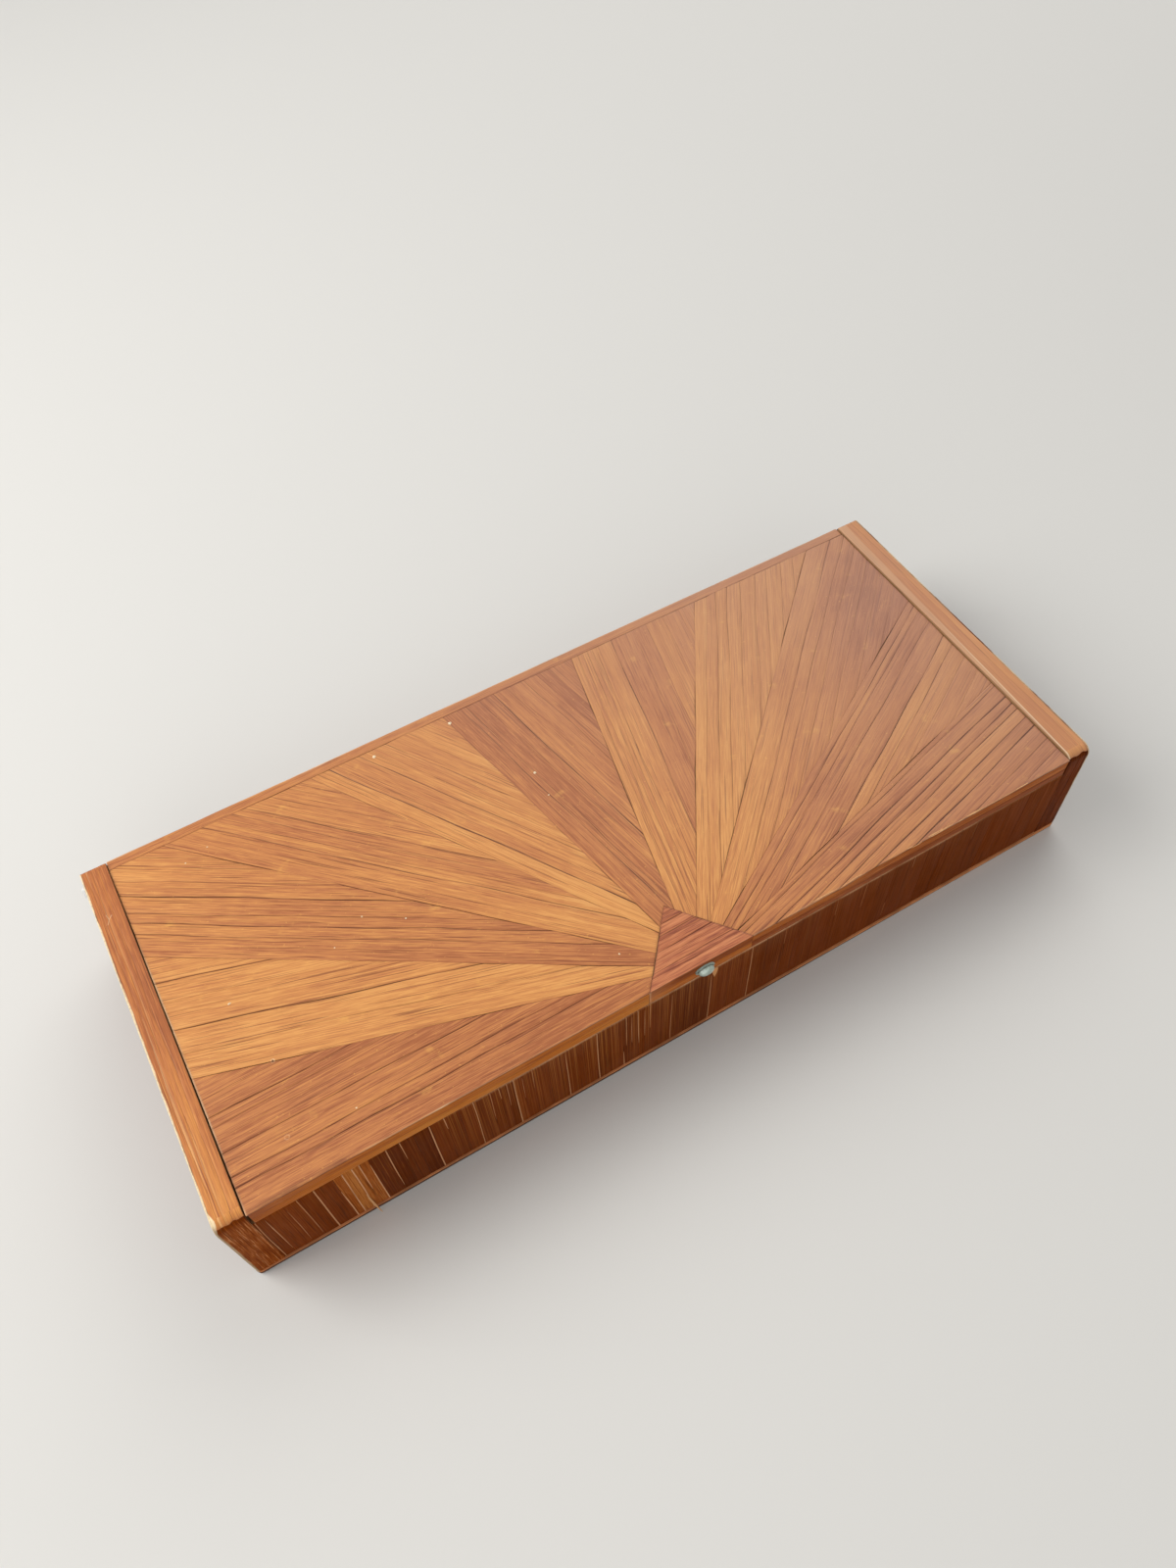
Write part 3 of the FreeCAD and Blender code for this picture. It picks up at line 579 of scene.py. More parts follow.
LID_STRAW = straw_material("straw_gold", LID_STOPS, lid_edges, lid_grime_and_hole_shade, raw=RAW_LID, painted_sheen=0.3, bloom=0.4)
RED_STRAW = straw_material("straw_red", RED_STOPS, swing=1.4)
EDGE_STRAW = straw_material("straw_brown", EDGE_STOPS, swing=0.8, gloss=0.1, raw=RAW_SPLIT)
WALL_STRAW = straw_material("straw_dark", DARK_STOPS, streaks=wall_streaks, swing=0.4, hair_tint=DARK_HAIR,
                            glint=0.2, gloss=0.02, raw=RAW_SPLIT, fineness=1.7)
PAPER = paper_material()
STEEL = steel_material()
KNOB_METAL = knob_material()
CAP_STRAW = straw_material("straw_gold_cap", CAP_STOPS, cap_rubs_and_highlights, swing=0.8, painted_sheen=0.28)
CHEEK_STRAW = straw_material("straw_dark_cheek", CHEEK_STOPS, cheek_arris, swing=0.8, hair_tint=DARK_HAIR,
                             glint=0.3, gloss=0.02)
PALE_WOOD = srgb(196, 152, 102), srgb(150, 104, 62), srgb(104, 72, 46)
# The base board's wood is written dark in part as painted shade on the base's edge
DARK_AND_SHADED_WOOD = srgb(92, 46, 22), srgb(66, 32, 14), srgb(48, 24, 12)
BOARD_WOOD = wood_material("board_wood", *PALE_WOOD, 0)
CHEEK_WOOD = wood_material("cheek_wood", *PALE_WOOD, 1)
BASE_WOOD = wood_material("base_wood", *DARK_AND_SHADED_WOOD, 0, worn_and_lit_rim=True)
SPECK = speck_material("cream_speck", srgb(226, 196, 150), srgb(248, 232, 200))
SLIVER = speck_material("loose_straw", srgb(206, 146, 92), srgb(236, 184, 128))


# Building meshes


def drift(draw, *lengths):
    """Gentle wavering between about minus and plus one, as a function of a length."""
    waves = [(length * draw.uniform(0.75, 1.3), draw.uniform(0, math.tau)) for length in lengths]

    def value(s):
        return sum(np.sin(math.tau * s / length + phase) for length, phase in waves) / len(waves)

    return value


def closed_grid(top, under):
    """Points and four-sided faces of a thin closed solid between two grids of points."""
    rows, columns = top.shape[:2]
    upper = np.arange(rows * columns).reshape(rows, columns)
    lower = upper + rows * columns
    ring = np.concatenate([upper[:, 0], upper[-1, 1:], upper[-2::-1, -1], upper[0, -2:0:-1]])
    after = np.roll(ring, -1)

    def quads(grid):
        return np.stack([grid[:-1, :-1], grid[1:, :-1], grid[1:, 1:], grid[:-1, 1:]], -1).reshape(-1, 4)

    sides = np.stack([ring, ring + rows * columns, after + rows * columns, after], -1)
    points = np.concatenate([top.reshape(-1, 3), under.reshape(-1, 3)])
    return points, np.concatenate([quads(upper), quads(lower)[:, ::-1], sides])


def joined(shapes):
    """Points and faces of several shapes as one."""
    points, faces = [], []
    for more_points, more_faces in shapes:
        faces += [tuple(int(i) + len(points) for i in face) for face in more_faces]
        points += list(more_points)
    return points, faces


def make_object(name, points, faces, material):
    """Smooth shaded mesh object with outward faces."""
    mesh = bpy.data.meshes.new(name)
    mesh.from_pydata([tuple(p) for p in points], [], [tuple(int(i) for i in f) for f in faces])
    shape = bmesh.new()
    shape.from_mesh(mesh)
    bmesh.ops.recalc_face_normals(shape, faces=shape.faces)
    shape.to_mesh(mesh)
    shape.free()
    mesh.shade_smooth()
    mesh.set_sharp_from_angle(angle=SHARP_ANGLE)
    mesh.materials.append(material)
    made = bpy.data.objects.new(name, mesh)
    bpy.context.scene.collection.objects.link(made)
    return made


def settle(made, body, slot, *nodes):
    """Puts a piece on its body, in place of the nodes that it stands for."""
    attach(made, body)
    if nodes:
        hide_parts(*nodes)


def turned(profile, centre, axis, side, flatness, sides, lumps, draw):
    """Points and faces of a turned piece: profile has places along the axis and radii, end to end."""
    a, b, middle = Vector(axis), Vector(side), Vector(centre)
    c = a.cross(b)
    points = [middle + a * profile[0][0]]
    for along, radius in profile[1:-1]:
        for turn in range(sides):
            angle = math.tau * turn / sides
            r = radius * (1 + draw.uniform(-lumps, lumps))
            points.append(middle + a * along + b * r * math.cos(angle) + c * r * flatness * math.sin(angle))
    points.append(middle + a * profile[-1][0])
    rings = len(profile) - 2
    faces = []
    for turn in range(sides):
        after = (turn + 1) % sides
        faces.append((0, 1 + after, 1 + turn))
        for ring in range(rings - 1):
            low = 1 + ring * sides
            faces.append((low + turn, low + after, low + sides + after, low + sides + turn))
        last = 1 + (rings - 1) * sides
        faces.append((last + turn, last + after, len(points) - 1))
    return points, faces


def flat(origin, along, across, up):
    """Place on a flat face, as a function of along, across and height."""
    start, a, c, u = (np.array(v, float) for v in (origin, along, across, up))

    def place(s, t, h):
        return start + s[..., None] * a + t[..., None] * c + h[..., None] * u

    return place


class Seam:
    """Line where two straws meet: its place, how it wavers, how wide it stands open and how dark it is."""

    def __init__(self, draw, at, dark, waver):
        self.at = at
        self.dark = dark
        self.waver = waver
        self.opening = None
        self.bend = drift(draw, 70 * MM, 33 * MM)
        self.breaks = drift(draw, 26 * MM, 11 * MM, 47 * MM)

    def line(self, s):
        return self.at + self.waver * self.bend(s)

    def half_gap(self, s):
        opening = self.opening(s) if self.opening else 0.0
        return (opening + SEAM_GAP + SEAM_OPENING * self.stain(s)) / 2

    def stain(self, s):
        return self.dark * np.clip(0.45 + 0.45 * self.dark + 0.75 * self.breaks(s), 0, 1)


class SplitSide:
    """One side of the raw fibre that shows in an opened seam."""

    def __init__(self, seam, way, width):
        self.seam = seam
        self.way = way
        self.at = seam.at + way * width / 2

    def line(self, s):
        return self.seam.line(s) + self.way * 0.47 * self.seam.opening(s)

    def half_gap(self, s):
        return 0 * s

    stain = half_gap


class StrawLayer:
    """Laid straws gathered into one mesh; place turns along, across and height into points of the frame."""

    def __init__(self, name, place, step=STATION_STEP, fine=None, worn=None):
        self.name = name
        self.place = place
        self.step = step
        self.fine = fine
        self.worn = worn
        self.draw = random.Random(name)
        self.points = []
        self.faces = []
        self.looks = {"tone": [], "seam": [], "wear": [], "straw": []}

    def seam(self, at, dark, waver=SEAM_WAVER):
        return Seam(self.draw, at, dark, waver)

    def lines_across(self, low, high, corners):
        """Where across the straw its mesh has lines: close at its sides, and at its outline's corners."""
        width = high - low
        soft = min(SIDE_SOFTENING, width / 6)
        marks = {low, high, (low + high) / 2}
        for inset in (soft, 2.5 * soft):
            marks |= {low + inset, high - inset}
        marks |= {t for t in corners if low + soft < t < high - soft}
        if self.fine:
            marks |= set(np.linspace(low, high, max(2, round(width / self.fine)) + 1))
        marks = sorted(marks)
        kept = [marks[0]] + [b for a, b in zip(marks, marks[1:]) if b - a > soft / 8]
        return np.array(kept)

    def stations(self, starts, stops):
        """Where along the straw its mesh has points, closer at its two ends, for every line across it."""
        lengths = np.maximum(stops - starts, 1e-6)
        soft = np.minimum(END_SOFTENING, lengths / 12)[:, None]
        count = max(2, round(float(lengths.max()) / self.step))
        middle = np.linspace(0, 1, count + 1)[None, :]
        body = 3 * soft + middle * (lengths[:, None] - 6 * soft)
        head = np.concatenate([0 * soft, soft], 1)
        tail = lengths[:, None] - head[:, ::-1]
        return starts[:, None] + np.concatenate([head, body, tail], 1)

    def lay(self, left, right, span, tone, corners=(), fade=None, raised=1.0, pale=0.0, end_stain=0.0,
            end_drop=END_DROP_SHARE, cut=CUT_GAP):
        """One straw between two seams, from where span says it starts to where it stops."""
        lines = self.lines_across(left.at, right.at, corners)
        starts, stops = np.array([span(t) for t in lines]).T
        s = self.stations(starts + cut, stops - cut)
        share = ((lines - left.at) / (right.at - left.at))[:, None]
        low = left.line(s) + left.half_gap(s)
        high = right.line(s) - right.half_gap(s)
        t = low + share * (high - low)
        from_end = np.minimum(s - s[:, :1], s[:, -1:] - s)
        uneven = drift(self.draw, 40 * MM, 17 * MM)
        drop = end_drop * np.exp(-from_end / (0.8 * END_SOFTENING))
        drop += CROWN_SHARE * (2 * share - 1) ** 2 + UNEVEN_SHARE * (1 + uneven(s)) / 2
        stain = end_stain * np.exp(-from_end / END_SOFTENING)
        for seam, away in ((left, t - low), (right, high - t)):
            depth = SIDE_DROP_SHARE + SEAM_DROP_SHARE * seam.stain(s)
            drop += depth * np.exp(-away / (0.8 * SIDE_SOFTENING))
            stain = np.maximum(stain, seam.stain(s) * np.exp(-away / (0.7 * SIDE_SOFTENING)))
        height = STRAW * raised * np.clip(1 - drop, 0.2, 1)
        top = self.place(s, t, height)
        points, faces = closed_grid(top, self.place(s, t, 0 * height))
        self.faces.append(faces + sum(len(p) for p in self.points))
        self.points.append(points)
        wear = pale(s) if callable(pale) else np.full(s.shape, pale)
        if self.worn:
            wear = np.maximum(wear, self.worn(top))
        seed = np.full(s.shape, self.draw.uniform(0, 60))
        if fade:
            tone = tone + fade(s, t)
        self.remember("tone", tone + 0 * s)
        self.remember("seam", np.clip(stain, 0, 1), np.ones(s.shape))
        self.remember("wear", wear)
        self.remember("straw", np.stack([s / MM, (t - left.at) / MM, seed], -1))

    def remember(self, look, values, below=None):
        """Keeps a look of a straw's top points, and of those below when it is another there."""
        width = 3 if look == "straw" else 1
        below = values if below is None else below
        self.looks[look].append(np.concatenate([values.reshape(-1, width), below.reshape(-1, width)]))

    def field(self, low, high, straws, span, corners=(), border_dark=BORDER_DARK, kept=TONE_KEPT, **looks):
        """A row of straws that fills the room between two lines, from widths in relation to one another."""
        breadth = sum(straw[0] for straw in straws)
        mean = sum(straw[0] * straw[1] for straw in straws) / breadth
        at = low
        left = self.seam(low, border_dark, 0.0)
        for number, (width, tone, dark, *pale) in enumerate(straws):
            at += width * (high - low) / breadth
            last = number == len(straws) - 1
            right = self.seam(at, border_dark, 0.0) if last else self.seam(at, dark)
            shade = mean + kept * (tone - mean) + self.draw.uniform(-0.06, 0.06)
            raised = self.draw.uniform(0.92, 1.0)
            self.lay(left, right, span, shade, corners, raised=raised, pale=sum(pale), **looks)
            left = right

    def finish(self, material, body, slot, *nodes):
        """Makes the mesh, with its looks for the material, and settles it."""
        made = make_object(self.name, np.concatenate(self.points), np.concatenate(self.faces), material)
        for look, values in self.looks.items():
            kind, field = ("FLOAT_VECTOR", "vector") if look == "straw" else ("FLOAT", "value")
            layer = made.data.attributes.new(look, kind, "POINT")
            layer.data.foreach_set(field, np.concatenate(values).astype(np.float32).ravel())
        settle(made, body, slot, *nodes)


def random_straws(draw, length, width, tones):
    """Widths, tones and seams for a plain row of straws."""
    count = max(2, round(length / width))
    return [(draw.uniform(0.75, 1.25), draw.choice(tones), draw.uniform(0.1, 0.7)) for _ in range(count)]


# The sunburst on the lid


def middle_of(points):
    return sum(points, Vector((0, 0))) / len(points)


def outline_of(node):
    """Corners of a flat node's top face, in order round it."""
    points = {(round(v.co.x, 7), round(v.co.y, 7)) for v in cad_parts[node].data.vertices}
    points = [Vector(p) for p in sorted(points)]
    for p in points:
        if p.x < LID_LOW.x + TOUCH:
            back = (p.y - LID_FRONT) / (WRAP_LOW.y - LID_FRONT)
            p.x -= OVERHANG_FRONT + back * (OVERHANG_BACK - OVERHANG_FRONT)
    middle = middle_of(points)
    return sorted(points, key=lambda p: math.atan2(p.y - middle.y, p.x - middle.x))


def chord(outline):
    """Where a straw at a place across an outline starts and stops; outline has along and across places."""
    low = min(t for _, t in outline)
    high = max(t for _, t in outline)
    margin = (high - low) * 1e-4

    def span(t):
        t = min(max(t, low + margin), high - margin)
        hits = []
        for (s0, t0), (s1, t1) in zip(outline, outline[1:] + outline[:1]):
            if (t0 <= t) != (t1 <= t):
                hits.append(s0 + (s1 - s0) * (t - t0) / (t1 - t0))
        return min(hits), max(hits)

    return span


def shared_border(first, second):
    """The two corners that two outlines share."""
    return [p for p in first if any((p - q).length < TOUCH for q in second)]


def lay_ray(number, border, outline):
    """One ray: its straws run along the border that it shares with the ray before it."""
    foot, end = border
    along = (end - foot).normalized()
    across = Vector((-along.y, along.x))
    if (middle_of(outline) - foot).dot(across) < 0:
        across = -across
    local = [((p - foot).dot(along), (p - foot).dot(across)) for p in outline]
    name = f"lid_ray_{number:02d}"
    layer = StrawLayer("laid_" + name, flat((*foot, LID_TOP), (*along, 0), (*across, 0), (0, 0, 1)))
    drift_out, straws = RAYS[number - 1]
    reach = max(s for s, _ in local)
    corners = [t for _, t in local]
    layer.field(0, max(corners) - CUT_GAP, straws, chord(local), corners, end_stain=0.3,
                fade=lambda s, t: drift_out * s / reach)
    layer.finish(LID_STRAW, "lid", "straw_gold", name)


def lay_sunburst():
    """All the rays, and the root that they spring from."""
    outlines = [outline_of(f"lid_ray_{number:02d}") for number in range(1, RAY_COUNT + 1)]
    root = Vector(((ROOT_LOW.x + ROOT_HIGH.x) / 2, ROOT_LOW.y))
    front = [p for p in outlines[0] if p.y < LID_FRONT + TOUCH]
    borders = [front] + [shared_border(a, b) for a, b in zip(outlines, outlines[1:])]
    for number, (border, outline) in enumerate(zip(borders, outlines), 1):
        lay_ray(number, sorted(border, key=lambda p: (p - root).length), outline)
    outline = [(p.x - ROOT_LOW.x, p.y - ROOT_LOW.y) for p in outline_of("lid_root_straw")]
    place = flat((ROOT_LOW.x, ROOT_LOW.y, LID_TOP), (1, 0, 0), (0, 1, 0), (0, 0, 1))
    layer = StrawLayer("laid_lid_root_straw", place)
    layer.field(0, ROOT_HIGH.y - ROOT_LOW.y - 4 * CUT_GAP, ROOT_STRAWS, chord(outline), border_dark=0.1,
                kept=0.6, end_stain=0.9)
    layer.finish(RED_STRAW, "lid", "straw_red", "lid_root_straw")


def lay_lid_back():
    """Straw wrapped round the lid's back edge, from a strip on the face to the underside."""
    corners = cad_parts["lid_back_straw"].data.vertices
    face_end = max(v.co.y for v in corners if v.co.z > WRAP_HIGH.z - TOUCH)
    radius = WRAP_HIGH.y - face_end - STRAW
    strip = face_end - WRAP_LOW.y
    bend = radius * math.pi / 2
    drop = LID_HIGH.z - LID_LOW.z - 2 * radius
    top, low = LID_HIGH.z - radius, LID_LOW.z + radius
    steps = np.cumsum([0, strip, bend, drop, bend, strip])
    length = WRAP_HIGH.x - WRAP_LOW.x
    rub = drift(random.Random("lid back"), 17 * MM, 41 * MM, 7 * MM)

    def wrapped(s, t, h):
        turn = np.interp(t, steps, [0, 0, math.pi / 2, math.pi / 2, math.pi, math.pi])
        y = np.interp(t, steps, [WRAP_LOW.y, face_end, face_end, face_end, face_end, WRAP_LOW.y])
        z = np.interp(t, steps, [top, top, top, low, low, low])
        out = radius + h
        return np.stack([WRAP_LOW.x + s, y + out * np.sin(turn), z + out * np.cos(turn)], -1)

    def worn(points):
        edge = np.clip((points[..., 1] - face_end) / (0.4 * MM), 0, 1) * (points[..., 2] > top)
        return edge * np.clip(0.5 + 0.6 * rub(points[..., 0]), 0, 0.9)

    layer = StrawLayer("laid_lid_back_straw", wrapped, fine=0.25 * MM, worn=worn)
    straws = ((strip + 0.9 * bend, BROWN, 0.3), (drop / 2, TAN, 0.5), (drop / 2, TAN, 0.5),
              (strip + bend, BROWN, 0))
    layer.field(0, steps[-1], straws, lambda t: (-OVERHANG_BACK, length), border_dark=0.5)
    layer.finish(LID_STRAW, "lid", "straw_gold", "lid_back_straw")


def lay_lid_front():
    """Straw along the lid's front edge; the middle length starts with a raw, slanting end."""
    for side, (lower, upper, darker) in EDGE_TONES.items():
        low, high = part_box("lid_front_straw_" + side)
        start, slant = (low.x, 0.1 * MM) if side == "centre" else (-math.inf, 0.0)
        height = high.z - low.z
        length = high.x - low.x

        def worn(points):
            edge = np.exp(-(points[..., 2] - low.z) / (0.1 * MM))
            edge *= np.interp(points[..., 0], EDGE_RUB_IN, [0.0, 0.4])
            return np.maximum(edge, 0.8 * np.exp(-(points[..., 0] - start) / (0.35 * MM)))

        place = flat((low.x, high.y, low.z), (1, 0, 0), (0, 0, 1), (0, -1, 0))
        layer = StrawLayer("laid_lid_front_straw_" + side, place, worn=worn)
        straws = ((2.6, lower, 0.25), (2.8, upper, 0))
        layer.field(0, height, straws, lambda t: (slant * (1 - t / height), length), border_dark=0.2,
                    kept=1.0, fade=lambda s, t: darker * np.exp(-s / (20 * MM)))
        layer.finish(EDGE_STRAW, "lid", "straw_brown", "lid_front_straw_" + side)


def drop_specks():
    """Cream specks dried on the lid."""
    draw = random.Random("specks")
    shapes = []
    for u, v, breadth in SPECKS:
        x = LID_LOW.x + u * (LID_HIGH.x - LID_LOW.x)
        y = LID_FRONT + v * (WRAP_LOW.y - LID_FRONT)
        r = breadth * MM / 2
        profile = ((-0.1 * MM, 0), (-0.1 * MM, r), (0.02 * MM, r), (0.2 * r + 0.03 * MM, 0.7 * r),
                   (0.3 * r + 0.04 * MM, 0))
        flatness = draw.uniform(0.6, 1.0)
        centre = (x, y, LID_TOP + 0.9 * STRAW)
        shapes.append(turned(profile, centre, (0, 0, 1), (1, 0, 0), flatness, 12, 0.2, draw))
    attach(make_object("lid_specks", *joined(shapes), SPECK), "lid")


def sliver(path, side, width, thickness):
    """Points and faces of a thin strand along a path, widest in its middle; side points across it."""
    path = np.stack(path, -1)
    share = np.linspace(0, 1, len(path))
    half = width / 2 * (0.25 + 0.75 * np.sin(math.pi * share))[:, None] * np.array(side)
    ahead = np.gradient(path, axis=0)
    up = np.cross(ahead, np.array(side))
    up *= thickness / np.linalg.norm(up, axis=1)[:, None]
    top = np.stack([path - half, path + half], 1)
    return closed_grid(top, top - up[:, None])


def fray_lid():
    """Raised slivers and chips of raw straw along the lid's front edge, most of them to the right."""
    draw = random.Random("frays")
    share = np.linspace(0, 1, 9)
    arch = np.sin(math.pi * share)
    shapes = []
    for _ in range(FRAY_COUNT):
        start = draw.triangular(*FRAY_PLACES)
        length = draw.uniform(2.0, 7.0) * MM
        inset = draw.uniform(0.05, 0.5) * MM
        lift = draw.uniform(0.05, 0.3) * MM
        x = start + length * share
        y = LID_FRONT + inset - 0.12 * MM * arch + draw.uniform(-0.2, 0.2) * MM * share
        z = LID_TOP + STRAW * 0.85 + lift * arch ** 2
        shapes.append(sliver((x, y, z), (0, 1, 0.2), draw.uniform(0.1, 0.22) * MM, 0.06 * MM))
    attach(make_object("lid_frays", *joined(shapes), SLIVER), "lid")


# Straw on the case


def lay_front():
    """Upright dark straw on the front wall, with its pale splits."""
    half = (FRONT_HIGH.x - FRONT_LOW.x) / 2
    height = FRONT_HIGH.z - FRONT_LOW.z
    place = flat((0, FRONT_HIGH.y, FRONT_LOW.z), (0, 0, 1), (1, 0, 0), (0, -1, 0))
    rub = drift(random.Random("front top"), 21 * MM, 60 * MM, 9 * MM)

    def worn(points):
        edge = np.exp(-(FRONT_HIGH.z - points[..., 2]) / (0.2 * MM))
        pale = np.interp(points[..., 0] / half, *zip(*TOP_RUB))
        return edge * pale * np.clip(0.75 + 0.6 * rub(points[..., 0]), 0, 1)

    layer = StrawLayer("laid_front_straw", place, worn=worn)
    draw = layer.draw
    marks = [(share * half, split) for share, *split in FRONT_SPLITS]
    places = sorted([-half, half] + [at for at, _ in marks])
    for low, high in zip(places[:-1], places[1:]):
        extra = math.ceil((high - low) / WIDEST_STRAW) - 1
        for number in range(extra):
            at = low + (high - low) * (number + 1) / (extra + 1) + draw.uniform(-0.6, 0.6) * MM
            marks.append((at, None))
    seams = [layer.seam(-half, 0.5, 0.0)]
    splits = []
    for at, split in sorted(marks, key=lambda mark: mark[0]):
        seams.append(layer.seam(at, 0.1 if split else draw.uniform(0.1, 0.6), 0.12 * MM))
        if split:
            width = SPLIT_WIDTH * draw.uniform(0.7, 1.0) * (0.4 + split[2])
            low, high = height * (1 - split[1]), height * (1 - split[0])
            seams[-1].opening = split_opening(width, low, high, height)
            splits.append((seams[-1], width, low, high, split[2]))
    seams.append(layer.seam(half, 0.5, 0.0))
    for left, right in zip(seams, seams[1:]):
        middle = (left.at + right.at) / 2 / half
        tone = next(tone for limit, tone in FRONT_TONES if middle <= limit) + draw.uniform(-0.08, 0.08)
        layer.lay(left, right, lambda t: (0, height), tone, raised=draw.uniform(0.82, 0.9), end_drop=0.7)
    for seam, width, low, high, pale in splits:
        flicker = drift(draw, 24 * MM, 13 * MM)
        lay_split(layer, seam, width, low, high, HONEY, pale=lambda s: pale * (0.8 + 0.2 * flicker(s)))
    lay_chip(layer, height)
    layer.finish(WALL_STRAW, "case", "straw_dark", "front_straw")


def split_opening(width, low, high, height):
    """Width of a split along its length: it tapers where it ends inside the straw."""
    taper = 0.3 * (high - low)

    def opening(s):
        foot = np.clip((s - low) / taper, 0, 1) if low > 0 else 1.0 + 0 * s
        head = np.clip((high - s) / taper, 0, 1) if high < height else 1.0 + 0 * s
        return width * np.sqrt(np.minimum(foot, head))

    return opening


def lay_split(layer, seam, width, low, high, tone, **looks):
    """Raw fibre that fills an opened seam."""
    sides = SplitSide(seam, -1, width), SplitSide(seam, 1, width)
    layer.lay(*sides, lambda t: (low, high), tone, **looks)


def lay_chip(layer, height):
    """Pale chip of straw that stands off the wall beside the knob."""
    low = height - CHIP_HEIGHT
    chip = layer.seam(KNOB_HIGH.x + 0.35 * MM, 0.0, 0.1 * MM)
    chip.opening = lambda s: CHIP_WIDTH * np.clip((s - low) / (0.6 * CHIP_HEIGHT), 0.1, 1) ** 1.5
    lay_split(layer, chip, CHIP_WIDTH, low, height, 0.0, pale=0.35, raised=1.5, end_drop=0.4)


def hang_sliver():
    """Loose strand of the frayed straws near the left end that hangs past the base board's edge."""
    share = np.linspace(0, 1, 12)
    x = SLIVER_X + SLIVER_STRAY * share ** 2
    y = FRONT_LOW.y - 0.02 * MM - SLIVER_STAND * share ** 2
    z = SLIVER_Z - SLIVER_DROP * share
    strand = sliver((x, y, z), (1, 0, 0), SLIVER_WIDTH, 0.1 * MM)
    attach(make_object("loose_sliver", *strand, SLIVER), "case")


def lay_back():
    """Upright dark straw on the back wall."""
    place = flat(BACK_LOW, (0, 0, 1), (1, 0, 0), (0, 1, 0))
    height = BACK_HIGH.z - BACK_LOW.z
    layer = StrawLayer("laid_back_straw", place,
                       worn=lambda points: 0.6 * np.exp(-(BACK_HIGH.z - points[..., 2]) / (0.3 * MM)))
    length = BACK_HIGH.x - BACK_LOW.x
    straws = random_straws(layer.draw, length, BACK_STRAW_WIDTH, (TAN, BROWN, BROWN, RUSSET))
    layer.field(0, length, straws, lambda t: (0, height), end_stain=0.2)
    layer.finish(WALL_STRAW, "case", "straw_dark", "back_straw")


def lay_cheek(side, outward):
    """Straw on the end face, the top edge and the front and back edges of one cheek."""
    end_low, end_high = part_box(side + "_end_straw")
    cap_low, cap_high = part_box(side + "_cheek_cap_straw")
    inner_x = end_high.x if outward < 0 else end_low.x

    def top_of(y):
        facing = "front" if y < 0 else "back"
        radius = CHEEK_RADII[facing]
        over = max(0.0, abs(y) - abs(CHEEK_ARCS[facing]))
        return end_high.z - radius - end_low.z + math.sqrt(max(radius ** 2 - over ** 2, 0.0))

    place = flat((inner_x, 0, end_low.z), (0, 0, 1), (0, 1, 0), (outward, 0, 0))
    layer = StrawLayer(f"laid_{side}_end_straw", place, fine=0.5 * MM)
    straws = random_straws(layer.draw, end_high.y - end_low.y, END_STRAW_WIDTH, (TAN, BROWN, BROWN))
    layer.field(end_low.y, end_high.y, straws, lambda y: (0, top_of(y)), end_stain=0.1)
    layer.finish(CHEEK_STRAW, "case", "straw_dark", side + "_end_straw")

    layer = StrawLayer(f"laid_{side}_cheek_cap_straw", flat(cap_low, (0, 1, 0), (1, 0, 0), (0, 0, 1)))
    length = cap_high.y - cap_low.y
    layer.field(0, cap_high.x - cap_low.x, CAP_ROWS[side], lambda t: (0, length), border_dark=0.2,
                end_drop=0.02, cut=0.0, fade=lambda s, t: np.interp(s, [0, 0.42 * length], CAP_FADE[side]))
    layer.finish(CAP_STRAW, "case", "straw_gold", side + "_cheek_cap_straw")

    for facing, way in (("front", -1), ("back", 1)):
        lay_cheek_edge(side, facing, way)


def lay_cheek_edge(side, facing, way):
    """Upright dark straw on a cheek's front or back edge, and the top's honey straw bent down to meet it."""
    name = f"{side}_cheek_{facing}_straw"
    low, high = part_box(name)
    breadth = high.x - low.x
    inner = CHEEK_RADII[facing] - STRAW
    rise = END_HIGH.z - CHEEK_RADII[facing] - low.z
    length = rise + inner * math.pi / 2
    meeting = rise + inner * 0.65
    ragged = drift(random.Random(name), 4.0 * MM, 2.2 * MM)
    dark = {"left": TAN - 0.22, "right": BROWN}[side]
    honey = CAP_FADE[side][0 if facing == "front" else 1] + BEND_FADE

    def bent(s, t, h):
        turn = np.clip((s - rise) / inner, 0, math.pi / 2)
        up = low.z + np.minimum(s, rise)
        y = CHEEK_ARCS[facing] + way * (inner + h) * np.cos(turn)
        return np.stack([low.x + t, y, up + (inner + h) * np.sin(turn)], -1)

    def met(t):
        return meeting + 0.16 * MM * ragged(t)

    layer = StrawLayer("laid_" + name, bent, step=0.3 * MM, fine=0.3 * MM)
    straws = ((3.0, dark, 0.2), (2.8, dark, 0))
    layer.field(0, breadth, straws, lambda t: (0, met(t)), border_dark=0.3, end_drop=0.06, cut=0.0,
                fade=lambda s, t: 0.35 * np.exp((s - met(t)) / (1.2 * MM)))
    layer.finish(CHEEK_STRAW, "case", "straw_dark", name)

    layer = StrawLayer(f"bent_{side}_{facing}_straw", bent, step=0.2 * MM, fine=0.3 * MM)
    layer.field(0, breadth, CAP_ROWS[side], lambda t: (met(t), length), border_dark=0.2, end_drop=0.02,
                cut=0.0, fade=lambda s, t: honey + 0.5 * np.exp((met(t) - s) / (0.25 * MM)))
    layer.finish(CAP_STRAW, "case", "straw_gold")


# Wood, paper and metal


